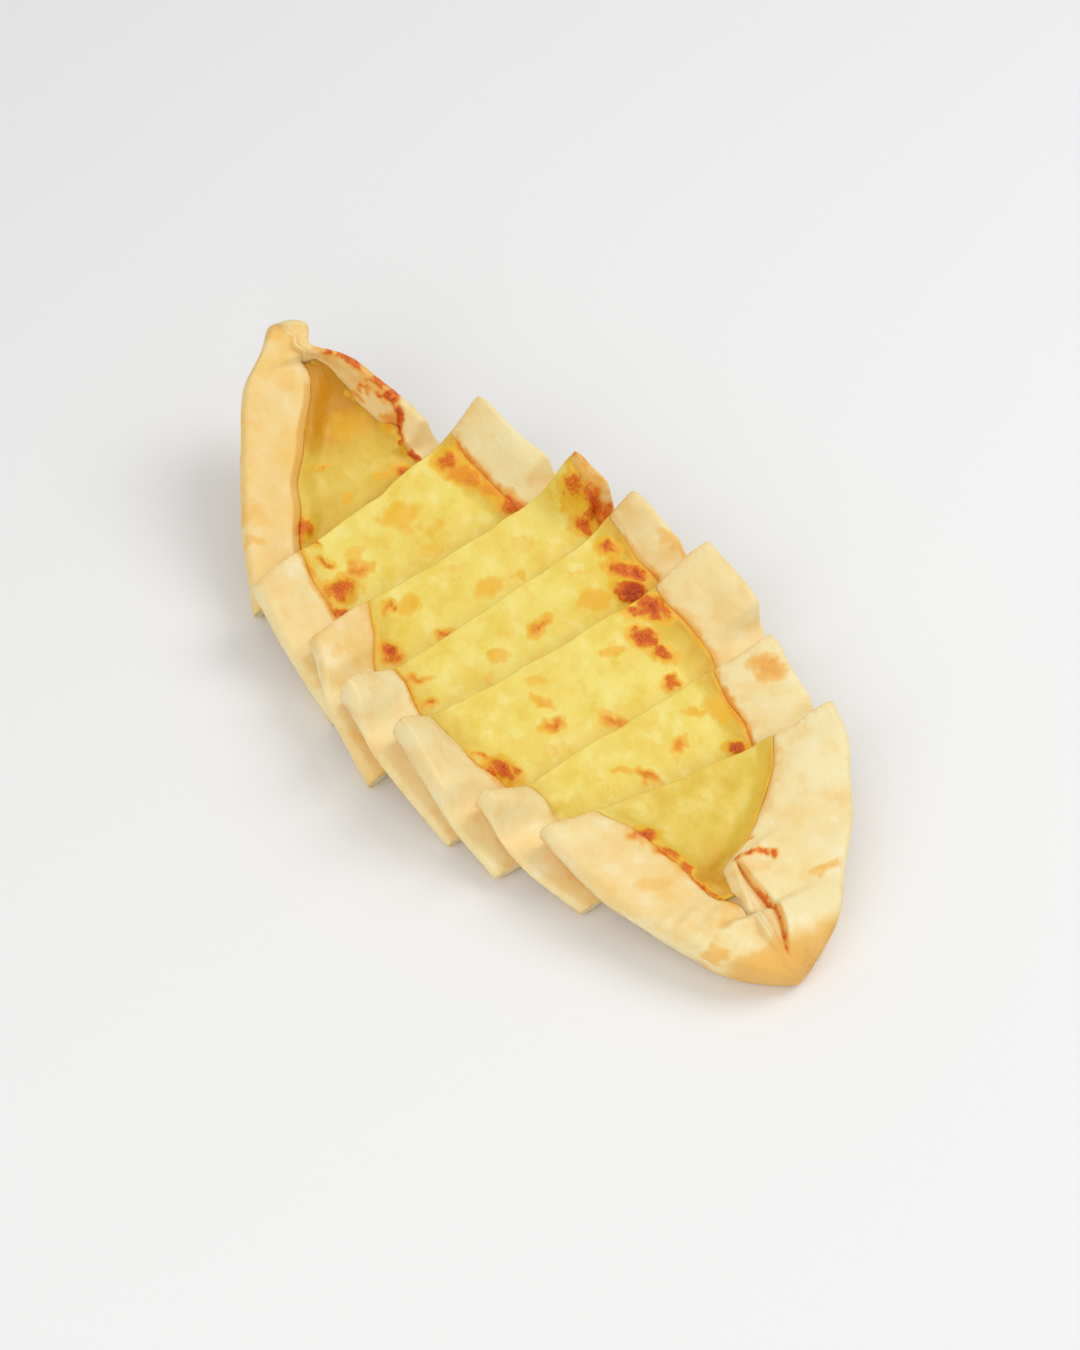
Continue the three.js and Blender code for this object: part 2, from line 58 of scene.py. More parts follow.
BASE_MIDDLE = 3.3
BASE_SIDE = 4.1
CHEESE_THICKNESS = 3.1
CLIMB_SHORT = 1.1
CLIMB_WIDTH = 9
FLAP_THICKNESS = 3.2
TUCK = 5
TUCK_END = 1.5
TUCK_CLEARANCE = 0.12
FLAP_PUFF = 0.45
FLAP_HOLLOW = 0.25
BELLY = 0.3
CREASE_HALF_WIDTH = 0.7
CREASE_DEPTH = 2.1
CREASE_TUCK = 0.35
CREASE_TO_CROWN = 3.6
CLOSING_WIDTH = 2.0
CLOSED_TO_CHEESE = 0.35
LIP_ROUND = 1
FOOT_ROUND = 7
# How round each slice's left and right rims are at the top of the wall.
CROWN_ROUNDS = ((2.6, 2.3), (3.2, 2.3), (2.6, 1.8), (2.2, 2.3), (2.2, 2.6), (2.4, 2.6), (4.4, 3.4))
WIDEST_AT = 0.72
LIP_DROP = 0.6
GAP = 0.3
THINNEST_FLAP = 0.4
THINNEST_WALL = 3
LOWEST_LIP = BASE_SIDE + TUCK_END + GAP + LIP_ROUND + THINNEST_FLAP
PRESS_GAP = 0.5
# How far ahead of the next slice a rim starts to come down, and over what run: left and right.
PRESS_LEADS = (13.5, 12.0)
PRESS_RUNS = (12.5, 11.5)
FLAT_STRIP_DEPTH = 0.8
TIP_STRIP_DEPTH = 2.7

# ---- How each slice lies ----------------------------------------------------------------

# near: the middle of its lower near edge on the table. yaw, tilt and roll in degrees. A band is
# a folded flap's width at the far and the near end, and a spread how much wider the slice is
# there than the boat's curve. lip: the flaps' edge above the base. droop: how far the far end
# sags. tan: how baked each flap is.
SLICE_SIZES = ("near", "yaw", "tilt", "roll", "left_band", "right_band", "left_spread",
               "right_spread", "left_rim", "right_rim", "lip", "droop", "tan")
SLICES = [dict(zip(SLICE_SIZES, sizes)) for sizes in (
    ((-70, -20), -8, 28.5, 0, (27, 24), (6, 15), (2, -4), (0, 0), 15, 17, 11.5, 0, (0.62, 0.3)),
    ((-34, -7), 11.4, 22.8, 3.6, (21.5, 22), (13.5, 22), (1, 1), (0, -3), 14, 22, 10.5, 2.5,
     (0.15, 0.1)),
    ((2, -8), 4.5, 22.2, 1, (26, 15), (3.6, 14), (-5, 1), (-2, 4), 15.5, 21, 10.5, 2.5,
     (0.4, 0.1)),
    ((35, -2), 6, 19.5, 0.3, (22.7, 19), (10, 19), (0, 0), (-2, 2), 18, 18.5, 9.8, 2.5,
     (0.1, 0.1)),
    ((59.5, -2.5), 1, 22.6, -0.5, (15, 27), (21.5, 22), (0, 0), (1.2, 6.5), 18.5, 20.5, 9.4, 1.5,
     (0, 0.1)),
    ((84.5, 0), 3, 21.5, 0, (19.5, 22), (22, 24), (0, -3), (1, 2), 17.5, 17.5, 9.4, 1.5,
     (0.12, 0.1)),
    ((146, -8), -7.8, 14.2, 0.8, (25, 30), (19, 50), (0, 0), (0, 0), 14.5, 16.5, 10.5, 2,
     (0.36, 0.1)),
)]
TIP_RIM = 19
TIP_LIP = 14
TIP_RISE_LENGTH = 48
TIP_CORE = 0.3
DROOP_REACH = 0.8

# The first tip is a pinched knob: where it is, how long, and how far each side is drawn in.
KNOB_LEFT = {"place": 5, "length": 16, "depth": 7}
KNOB_RIGHT = {"place": 13.5, "length": 6.0, "depth": 7.5}
# The first slice's right rim stands up with no flap from here to there, and its inner wall
# slopes down to the cheese.
BARE_FROM, BARE_TO, BARE_FADE = 14, 44, 13
BARE_BAND = 5.2
BARE_SLOPE = 5.5

# Where the flaps meet at each tip, across the boat.
FIRST_CREASE, LAST_CREASE = 4, -5.5
# Where the lips run in the two end slices: distance from the far cut or the tip, place across.
FIRST_LEFT_LIP = ((0, 3), (17.5, 3), (22, 5.3), (28.5, 3.3), (35, -1.9), (44, -7.3), (57, -14.1),
                  (76, -22), (94, -27))
LAST_LEFT_LIP = ((0, -30), (6, -26.6), (16, -20.5), (28, -15.4), (41, -12.9), (47, -8.6),
                 (52, -5.5), (76, -5.5))
LAST_RIGHT_LIP = ((0, 33.2), (17, 21.3), (25, 12), (30, 5), (33, -4.5), (41, -6.6), (52, -5.5),
                  (76, -5.5))
# The dough is pressed together without a crease from the tip to here.
SEALED_FIRST, SEALED_LAST, SEALED_FADE = 15, 22, 3
# The third slice's right lip stands as high as its rim at the far cut, and the cheese climbs it.
HIGH_LIP_REACH = 34
# How the corners at the far cuts differ: slice, side, how much wider, how much higher and how
# much further back the corner lies, and how far along the slice that reaches.
FAR_CORNERS = (
    (2, RIGHT, 2.0, 0.0, 3.0, 20), (3, RIGHT, -3.0, 6.5, 2.0, 22), (3, LEFT, -3.0, 0.5, -2.0, 24),
    (4, RIGHT, 0.0, 0.0, 3.2, 20), (4, LEFT, -1.5, 4.5, 1.5, 26), (5, RIGHT, -2.2, 0.0, 3.4, 20),
    (5, LEFT, -1.2, 4.5, 1.2, 26), (6, LEFT, -2.5, 3.4, 4.0, 26), (6, RIGHT, -1.0, 0.0, -2.0, 18),
    (7, RIGHT, 0.0, 0.5, 1.0, 18),
)
# The part of a corner that lies further back: how far from the middle it starts, over what run.
CORNER_FROM, CORNER_RUN = 34, 24
# How much wider the last slice's sides are than the boat's curve: distance from its far cut, width.
LAST_SIDES = {
    LEFT: ((0, 0), (30, 0), (42, -2), (55, -3.8), (76, -3)),
    RIGHT: ((0, 3.2), (15, 4.5), (27, 2.2), (38, 0.2), (45, -1.9), (52, -4.2), (60, -5),
            (76, -4.5)),
}
# Rims end a little lower right at a cut.
CORNER_DROP, CORNER_DROP_REACH = 0.7, 2.5
# The trough is shallower where it ends at a tip: how much, and over what length.
TROUGH_ENDS = {0: (17, 15, 6.0), LAST: (41, 12, 5.0)}
# Beside the trough's end the last slice's dough is folded into an ear: a thin ridge, a pocket
# that deepens away from it, and the toasted lip of the right flap above the pocket. The pocket
# is painted more golden as it deepens, and the band at the lip's foot is toast and painted shade.
EAR_START, EAR_RUN, EAR_END, EAR_FADE = 31, 5, 61, 12
EAR_FOOT = 6
EAR_CHAR_FROM, EAR_CHAR_RUN, EAR_CHAR = 40, 9, 0.6
EAR_RIDGE = ((33, -1), (36, -1.4), (44, -3), (51, -4.4), (67, -4.4))
EAR_LIP = ((33, 1), (41, 1.4), (48.5, 2.9), (55, 2.9), (60.5, 1.5), (68, -1.5))
RIDGE_HEIGHT, RIDGE_WIDTH = 1.5, 1.5
POCKET_DEPTH, LIP_STEP, LIP_RISE = 3.4, 0.9, 0.9
# Small pleats across the last slice's left flap near its tip.
PLEATS = {"from": 40, "to": 64, "length": 6.5, "height": 0.5, "slant": 0.5}

LIP_LINES = {(0, LEFT): FIRST_LEFT_LIP, (LAST, LEFT): LAST_LEFT_LIP,
             (LAST, RIGHT): LAST_RIGHT_LIP}

# ---- Unevenness -------------------------------------------------------------------------

RIM_WAVE = 0.7
BAND_WAVE = 0.8
CHEESE_WAVE = 0.35
RIM_WAVELENGTH = 27
CHEESE_WAVELENGTH = 19

# The cuts aren't quite straight: how far they wander, and how far in from the cut that reaches.
CUT_WANDER, WANDER_REACH = 0.8, 12
# The corners of the flaps at a cut are rounded back, and the cut edges are soft.
FLAP_CORNER = 1.4
CUT_EDGE = 0.6
# How deep the underside is browned, where a cut shows it.
BROWNED_DEPTH = 2.2

# Browned crags of each slice: distance from its far cut, place across it, radius and height.
CRAGS = (
    ((48, 25, 5, 1.4), (64, 25, 4.5, 1), (72, -20, 4.5, 1.1)),
    ((6, 34, 5, 1.2), (17, 35, 5, 1.2), (32, 39, 6, 1.5), (20, -28, 6.5, 2)),
    ((5, 51, 5, 1.8), (16, 52, 6, 2), (26, 50, 5.5, 1.6), (18, -32, 5.5, 1.5)),
    ((23, 42, 8, 2.6), (41, 36, 7, 2.2)),
    ((27, -39, 7, 2.2), (15, 19, 5, 0.8), (33, 2, 5.5, 0.8), (33, 29, 5.5, 1.1)),
    ((27, 28, 6.5, 2),),
    ((15, -20, 6, 1.6), (25, -16, 5.5, 1.8), (38, -12, 5.5, 1.6), (34, 8, 5.5, 1.6)),
)

# Baked spots of each slice: distance from its far cut, place across it, half length, half width,
# turn of the long side from across towards the near cut in degrees, how golden, how charred.
SPOTS = (
    ((42, 11, 11, 7, 10, 0.3, 0), (33, 8, 12, 9, 0, 0.15, 0), (53, -4, 5.5, 1.3, 5, 0.75, 0.2),
     (66, 0, 2.8, 2, 0, 0.55, 0.08), (65, 24, 5.5, 3.2, 30, 0.95, 0.42),
     (63, 15, 4, 1.6, 10, 0.6, 0.1), (72, -19, 3.8, 3.4, 0, 0.95, 0.45),
     (78, -12, 4.5, 1.8, 10, 0.8, 0.3), (84, -19, 5, 2.4, 30, 0.95, 0.6),
     (33, 20, 2.6, 1.4, 70, 0.9, 0.35), (34, 17, 4, 1.2, 70, 0.85, 0.1),
     (37.5, 23.5, 2.8, 1.6, 70, 0.95, 0.6), (40.5, 26, 3.2, 1.8, 60, 1, 1),
     (47, 25, 4, 3, 60, 0.85, 0.15), (61, -38, 9, 5, 10, 0.42, 0), (71, -38, 5, 3, 10, 0.5, 0.1),
     (30, -24, 5, 3, 60, 0.3, 0), (5, -2, 6, 4, 0, 0.4, 0), (8, 6, 5, 3, 0, 0.35, 0),
     (22, -5, 7, 5, 0, 0.3, 0)),
    ((6, 33, 5, 4.4, 30, 1, 0.4), (12, 33, 5, 3.5, 50, 0.95, 0.08), (17, 35, 5.5, 3.4, 60, 1, 0.2),
     (25, 38, 5, 3.2, 60, 1, 0.1), (33, 38, 6, 4.4, 60, 1, 0.52), (10, 7, 8, 5, 20, 0.5, 0),
     (-1, -25, 4, 2, 50, 0.9, 0.5), (8, -26, 4.5, 1.8, 50, 0.9, 0.45),
     (19, -29.5, 8, 5, 20, 1, 0.62), (17, -19, 7, 3.5, 10, 0.9, 0.18),
     (26, -35.5, 4.5, 2.6, 40, 1, 0.62), (27, 6, 6, 3, 10, 0.3, 0), (12, -14, 5, 3, 0, 0.35, 0),
     (9, -47, 9, 4, 10, 0.25, 0), (22, 14, 5, 3, 0, 0.35, 0)),
    ((1, 58, 7, 3.4, 80, 1, 0.5), (7, 51.5, 5.5, 3.4, 70, 1, 0.5), (14, 56, 7.5, 4.4, 75, 1, 0.8),
     (20, 60, 6, 4, 75, 1, 0.7), (28, 55, 5, 3.4, 50, 1, 0.55), (25, 42, 3.6, 2.4, 10, 1, 0.5),
     (17, 51, 5, 3, 60, 1, 0.6), (18, -33, 5.5, 4, 50, 1, 0.68), (5, -23, 5, 1.8, -20, 0.85, 0.25),
     (7, -17, 5, 3, 0, 0.6, 0.08), (23, -13, 3.6, 2.6, 0, 0.9, 0.25), (17, 10, 6, 4, 0, 0.5, 0),
     (19, 22, 3, 2, 0, 0.45, 0), (38, 17, 5, 2.4, 0, 0.8, 0.2), (9, -50, 4, 3, 0, 0.35, 0),
     (10, 30, 6, 4, 0, 0.3, 0)),
    ((7, 47, 4.5, 3, 60, 1, 0.55), (15, 45, 6.4, 3.4, 60, 1, 0.62),
     (23.5, 42, 7.4, 5.6, 60, 1, 1.2), (20, 48, 6, 3.4, 60, 1, 0.75), (29, 45, 6, 5, 60, 1, 0.9),
     (18, 31, 5, 4.5, 0, 0.6, 0.05), (35.5, 18, 5.5, 2.2, -20, 0.9, 0.22),
     (41.5, 24, 4.5, 2.2, -20, 0.9, 0.25), (15, 9, 5.5, 2.8, -10, 0.9, 0.22),
     (30, -3, 5, 2, -15, 0.9, 0.25), (15, -10, 4.5, 3, 0, 0.6, 0.06), (7, -38, 6, 2, 30, 0.85, 0.2),
     (16, -40, 3.5, 2.2, 0, 0.85, 0.25), (36, -8, 5, 2, -10, 0.75, 0.1),
     (20, 63, 8, 2, 70, 0.5, 0.1), (42, 62, 5, 3, 40, 0.3, 0)),
    ((5, 38, 7, 4.4, 60, 1, 0.85), (3, 32.5, 5, 3, 40, 0.95, 0.6), (12, 30, 6.4, 3.8, 50, 1, 0.75),
     (19, 32, 6, 3.6, 50, 1, 0.7), (27, -38, 7.5, 4.2, 60, 1, 0.85),
     (19, -42, 5, 1.6, 50, 0.95, 0.25), (14, -13, 4.5, 2, 50, 0.75, 0.1),
     (22, -15, 4.6, 2.8, 0, 1, 0.25), (10, 18, 5, 2.6, 20, 0.6, 0.06),
     (31, 4, 6, 2.6, 50, 0.95, 0.2), (38, -9, 4.6, 2.4, 10, 0.95, 0.3),
     (29, 28.5, 3.4, 3, 0, 1, 0.4), (38, 30, 5, 2.2, 30, 1, 0.42), (38, 36, 5, 1.8, 60, 0.9, 0.3),
     (48, 33, 9, 5, 30, 0.55, 0.05), (6, -10, 4, 2.4, 30, 0.5, 0.05), (13, 46, 6, 2, 60, 0.4, 0),
     (16, -52, 7, 3, 20, 0.2, 0)),
    ((18, -2, 5.5, 2.4, 60, 1, 0.28), (12, -8, 5, 1.4, 40, 0.6, 0.05),
     (15, 14, 3.4, 2.6, 0, 0.95, 0.18), (27, 27.5, 5, 3.6, 60, 1, 0.8), (12, 32, 5, 5, 60, 0.5, 0),
     (9, 25, 5, 2, 30, 0.5, 0), (9, 51, 7.5, 4.6, 60, 0.75, 0), (30, 8, 5, 3, 20, 0.4, 0),
     (30, -40, 5, 4, 0, 0.25, 0)),
    ((14, -21, 6.2, 3.6, 20, 1, 0.75), (22, -17.5, 5, 2.4, 40, 1, 0.5),
     (28.5, -14.5, 4, 2.2, 40, 1, 0.5), (33.5, 1, 3, 0.9, -10, 0.9, 0.9),
     (34.5, 5.5, 3.2, 1.1, 10, 1, 1), (34.5, 9.5, 2.4, 1.3, 10, 1, 0.9),
     (36.5, 11.5, 1.8, 1.5, 0, 1, 0.95), (29, 9, 1.6, 1, 30, 0.8, 0.5), (38, 4, 5, 4, 0, 0.35, 0),
     (49, 22.5, 7, 1.8, 5, 0.6, 0.03), (60, -22, 4, 3, 30, 0.6, 0), (70, -7, 12, 6, 0, 0.5, 0),
     (52, -14, 3, 4, 60, 0.4, 0), (31, -28, 6, 3, 10, 0.4, 0), (45, -9, 4, 2, 60, 0.5, 0)),
)
# Toasted lines of each slice: side, whether on the lip or the crown, from and to along the slice,
# half width, how golden, how charred.
TOASTED = (
    ((RIGHT, "crown", 14, 40, 3, 1.1, 0.62), (RIGHT, "lip", 43, 61, 1.7, 1, 1),
     (LEFT, "lip", 66, 92, 1.6, 0.85, 0.25)),
    ((LEFT, "lip", -3, 32, 2.6, 0.85, 0.15), (RIGHT, "lip", 1, 42, 1.7, 1, 0.1)),
    ((RIGHT, "lip", -3, 30, 2.6, 1, 0.35), (LEFT, "lip", -2, 26, 1.8, 0.6, 0.06)),
    ((RIGHT, "lip", 6, 50, 1.7, 0.85, 0.12), (LEFT, "lip", -2, 20, 1.9, 0.75, 0.16)),
    ((RIGHT, "lip", 6, 56, 1.6, 0.8, 0.05), (LEFT, "lip", 16, 34, 1.8, 0.85, 0.1)),
    ((RIGHT, "lip", -2, 36, 1.6, 0.9, 0.08),),
    ((LEFT, "lip", 10, 46, 1.7, 0.95, 0.3), (RIGHT, "lip", 0, 30, 1.2, 0.5, 0)),
)
# How far from each slice's right lip the cheese is painted deeper yellow as shade, and how deep.
CHEESE_SHADE_BY_LIP = ((13, 0.75), (13, 0.75), (13, 0.3), (16, 0.8), (18, 0.74), (13, 0.75), (13, 0.75))
# How much of its lumps the dough keeps where the next slice lies on it, and inside the trough.
COVERED_RELIEF, INNER_RELIEF = 0.25, 0.2
# How baked the foot of a wall is, the painted shade on the left flaps under the next slice, and
# how browned the last tip is, partly as painted shade.
LOW_WALL, LOW_BAKE = 7, 0.5
SHADE_UNDER_NEXT_FROM, SHADE_UNDER_NEXT = 34, 0.14
TIP_DARKER_FROM, TIP_DARKER_RUN, TIP_TAN_AND_SHADE, TIP_BAKE_AND_SHADE = 58, 12, 1.1, 0.78
# The first slice's left lip is a golden roll that slopes into the trough.
ROLL = {"from": 21, "run": 6, "width": 4, "drop": 1.4, "rise": 0.5, "golden": 0.42}

# ---- Fineness ---------------------------------------------------------------------------

TOP_SPACING = 0.62
WALL_SPACING = 0.85
HIDDEN_SPACING = 1.7
ALONG_SPACING = 0.66
CUT_STATIONS = (0.0, 0.14, 0.32, 0.58, 0.95)
TIP_STATIONS = (0, 0.05, 0.2, 0.5, 0.9, 1.4)
CRUST_ROUNDS, CHEESE_ROUNDS = 3, 2
CRUST_CUT_SPACING, CHEESE_CUT_SPACING = 0.85, 0.8


def ramp(low, high, t):
    return low + (high - low) * t


def clamp01(t):
    return np.clip(t, 0.0, 1.0)


def ease(t):
    t = clamp01(t)
    return t * t * (3 - 2 * t)


def fade(t):
    return 1 - ease(t)


def half_value(along, name):
    """A value of the boat's first or last half, chosen by the place along it."""
    return np.where(along < BOAT_LENGTH / 2, FIRST_HALF[name], LAST_HALF[name]).astype(float)


def boat_half_width(along):
    from_middle = np.abs(2 * along / BOAT_LENGTH - 1)
    full = clamp01(1 - from_middle ** half_value(along, "fullness"))
    return ramp(half_value(along, "tip"), MIDDLE_HALF_WIDTH, full ** half_value(along, "point"))


def wave(along, wavelength, side):
    turn = 2 * np.pi * along / wavelength
    return 0.6 * np.sin(turn + 2.1 * side) + 0.4 * np.sin(1.7 * turn - 1.3 * side)


def run_of(line, place):
    """The place across of a line that is given by a few of its points, softened at its bends."""
    places, across = zip(*line)
    return sum(np.interp(place + d, places, across) for d in (-2, -1, 0, 1, 2)) / 5


def to_tip(along):
    return np.minimum(along, BOAT_LENGTH - along)


def placement(index):
    """Turn and position of a slice on the table, in millimetres."""
    lies = SLICES[index]
    angles = [math.radians(lies[name]) for name in ("roll", "tilt", "yaw")]
    turn = np.array(Euler(angles, "XYZ").to_matrix())
    depth = TIP_STRIP_DEPTH if index == LAST else FLAT_STRIP_DEPTH
    return turn, np.array([lies["near"][0], lies["near"][1], -depth])


def sag_at(index, x, y):
    length = CUTS[index + 1] - CUTS[index]
    from_far = clamp01((x + length) / length)
    half = boat_half_width(np.clip(CUTS[index + 1] + x, 0, BOAT_LENGTH))
    across = np.cos(np.pi / 2 * clamp01(np.abs(y) / half))
    return SLICES[index]["droop"] * fade(from_far / DROOP_REACH) * across


def covered_by_next(index, x, y):
    """How far the slice above covers a place, from 0 to 1, and the height that it leaves."""
    after = index + 1
    turn, place = placement(index)
    turn_after, place_after = placement(after)
    to_after = turn_after.T @ turn
    start = turn_after.T @ (place - place_after)
    foot = [to_after[k, 0] * x + to_after[k, 1] * y + start[k] for k in range(3)]
    room = (-foot[2] - sag_at(after, foot[0], foot[1])) / to_after[2, 2] - PRESS_GAP
    length = CUTS[after + 1] - CUTS[after]
    rightness = ease((y + 12) / 24)
    lead, run = ramp(*PRESS_LEADS, rightness), ramp(*PRESS_RUNS, rightness)
    return ease((foot[0] + length + lead) / run), room


def pressed_height(index, x, y, free):
    if index == LAST:
        return free + 0 * x + 0 * y
    covered, room = covered_by_next(index, x, y)
    return ramp(free, np.minimum(free, room), covered)


def knob_waist(along, sign):
    """How far the boat is drawn in on one side behind the knob at its first tip."""
    if sign == LEFT:
        return KNOB_LEFT["depth"] * fade((along - KNOB_LEFT["place"]) / KNOB_LEFT["length"])
    away = (along - KNOB_RIGHT["place"]) / KNOB_RIGHT["length"]
    return KNOB_RIGHT["depth"] * np.exp(-(away**2))


def corner_change(index, sign, from_far):
    """How much wider, higher and further back a side is than it would be, near its far corner."""
    for number, side, wider, higher, back, reach in FAR_CORNERS:
        if number == index + 1 and side == sign:
            near = fade(from_far / reach)
            return wider * near, higher * near, back * near
    return 0.0, 0.0, 0.0


def section_at(index, along):
    """The sizes of the cross-sections of a slice, one for each place along it."""
    lies = SLICES[index]
    from_far = (along - CUTS[index]) / (CUTS[index + 1] - CUTS[index])
    x = along - CUTS[index + 1]
    is_end = index in (0, LAST)
    near_tip = fade(to_tip(along) / TIP_RISE_LENGTH) if is_end else 0 * along
    to_cut = np.full_like(along, BOAT_LENGTH)
    if index > 0:
        to_cut = np.minimum(to_cut, along - CUTS[index])
    if index < LAST:
        to_cut = np.minimum(to_cut, CUTS[index + 1] - along)
    inside = clamp01(1 - to_cut / FLAP_CORNER)
    corner = FLAP_CORNER * (1 - np.sqrt(1 - inside**2)) * 0.8

    bare = ease((along - BARE_FROM) / 4) * fade((along - BARE_TO) / BARE_FADE)
    bare = {LEFT: 0 * along, RIGHT: bare if index == 0 else 0 * along}

    def side(sign, name):
        band, rim, spread = (lies[name + part] for part in ("_band", "_rim", "_spread"))
        wider, higher, _ = corner_change(index, sign, along - CUTS[index])
        half = boat_half_width(along) + ramp(*spread, from_far) - knob_waist(along, sign) + wider
        if index == LAST:
            half = half + run_of(LAST_SIDES[sign], along - CUTS[index])
        crown = CROWN_ROUNDS[index][sign == RIGHT]
        band = ramp(ramp(*band, from_far), BARE_BAND, bare[sign])
        free = ramp(rim, TIP_RIM, near_tip) + RIM_WAVE * wave(along, RIM_WAVELENGTH, -sign)
        free = free + higher - CORNER_DROP * fade(to_cut / CORNER_DROP_REACH)
        wall = pressed_height(index, x, sign * (half - crown), free)
        lip_out = half - band
        if (index, sign) in LIP_LINES:
            lip_out = sign * run_of(LIP_LINES[index, sign], along - CUTS[index])
        lip_out = lip_out - BAND_WAVE * wave(along, RIM_WAVELENGTH, sign) + corner
        free_lip = np.minimum(ramp(lies["lip"], TIP_LIP, near_tip), wall - LIP_DROP)
        high = bare[sign]
        if index == 2 and sign == RIGHT:
            high = fade((along - CUTS[2]) / HIGH_LIP_REACH)
        free_lip = ramp(free_lip, wall - LIP_DROP, high)
        lip = np.maximum(pressed_height(index, x, sign * lip_out, free_lip), LOWEST_LIP)
        return {"sign": sign, "half": half, "wall": wall, "lip": lip, "lip_out": lip_out,
                "crown": crown}

    left, right = side(LEFT, "left"), side(RIGHT, "right")
    sideways = np.minimum(left["half"], right["half"]) - left["crown"] - CREASE_TO_CROWN
    sideways = np.maximum(sideways, 0)
    middle = np.clip((right["lip_out"] - left["lip_out"]) / 2, -sideways, sideways)
    opening = np.maximum((right["lip_out"] + left["lip_out"]) / 2, CREASE_HALF_WIDTH)
    closed = fade((opening - CREASE_HALF_WIDTH) / CLOSING_WIDTH)
    crease = FIRST_CREASE if index == 0 else LAST_CREASE
    middle = ramp(middle, np.clip(crease, -sideways, sideways), closed)
    sealed = 0 * along
    if is_end:
        length = SEALED_FIRST if index == 0 else SEALED_LAST
        sealed = fade((to_tip(along) - length) / SEALED_FADE)
    crease_depth = ramp(CREASE_DEPTH, 0.02, sealed)
    for one in (left, right):
        one["lip"] = ramp(one["lip"], one["wall"] - 0.1, sealed)
        one["crease"] = crease_depth
        one["sealed"] = sealed
        one["lip_out"] = opening + one["sign"] * middle
        one["bare"] = bare[one["sign"]]
        slope = -np.minimum(BARE_SLOPE, 0.45 * opening)
        tuck = np.clip(one["half"] - one["lip_out"] - THINNEST_WALL, CREASE_TUCK, TUCK)
        one["tuck"] = ramp(ramp(tuck, CREASE_TUCK * (1 - sealed), closed), slope, one["bare"])
    rise = 0 * along
    if is_end:
        start, reach, height = TROUGH_ENDS[index]
        end = start if index == 0 else CUTS[-1] - CUTS[LAST] - start
        rise = height * fade((to_tip(along) - end) / reach)
    rounding = 1 - clamp01(to_tip(along) / half_value(along, "rounding"))
    scale = np.sqrt(1 - (1 - TIP_END_SCALE**2) * rounding**2)
    return {"along": along, "x": x, LEFT: left, RIGHT: right, "middle": middle,
            "opening": opening, "closed": closed, "scale": scale, "to_cut": to_cut,
            "crease": crease_depth, "rise": rise, "from_far": along - CUTS[index]}


def floor_height(section, y):
    """Height of the dough under the cheese. y has a column for each section."""
    lip = by_side(section, y, "lip")
    t = clamp01(np.abs(y - section["middle"]) / section["opening"])
    base = ramp(BASE_MIDDLE, BASE_SIDE, t * t) + section["rise"]
    return ramp(base, lip - section["crease"] * (1 - 0.2 * t * t), section["closed"])


def by_side(section, y, name):
    """A size of the left or the right rim, whichever the place across is nearer to."""
    return np.where(y < section["middle"], section[LEFT][name], section[RIGHT][name])


def crag_at(index, from_far, y):
    total = 0 * from_far + 0 * y
    for place, across, radius, height in CRAGS[index]:
        away = np.hypot(place - from_far, across - y) / radius
        total = total + np.where(away < 1, height * (1 - np.minimum(away, 1) ** 2) ** 2, 0)
    return total


def undercut(section, side):
    floor = floor_height(section, side["sign"] * side["lip_out"])
    under = np.maximum(side["lip"] - FLAP_THICKNESS, floor + TUCK_END + GAP)
    closed = section["closed"]
    bare = side["bare"]
    tuck_top = ramp(floor + TUCK_END, side["lip"] - side["crease"] * 0.65, closed)
    return {
        "under": ramp(under, side["lip"] - side["crease"] * 0.5, closed),
        "tuck_top": ramp(tuck_top, floor + GAP + CHEESE_THICKNESS, bare * (1 - closed)),
        "floor": floor,
    }


def belly_at(part):
    return BELLY * (part * part - 1)


# How baked each stretch of the dough's outline is, and how finely it is meshed.
BOTTOM, FOOT, WALL, CROWN, FLAP, LIP, INNER_WALL, UNDER = (
    (0.78, HIDDEN_SPACING), (0.62, WALL_SPACING), (0.14, WALL_SPACING), (0.2, TOP_SPACING),
    (0.1, TOP_SPACING), (0.5, TOP_SPACING), (0.1, TOP_SPACING), (0.0, HIDDEN_SPACING))


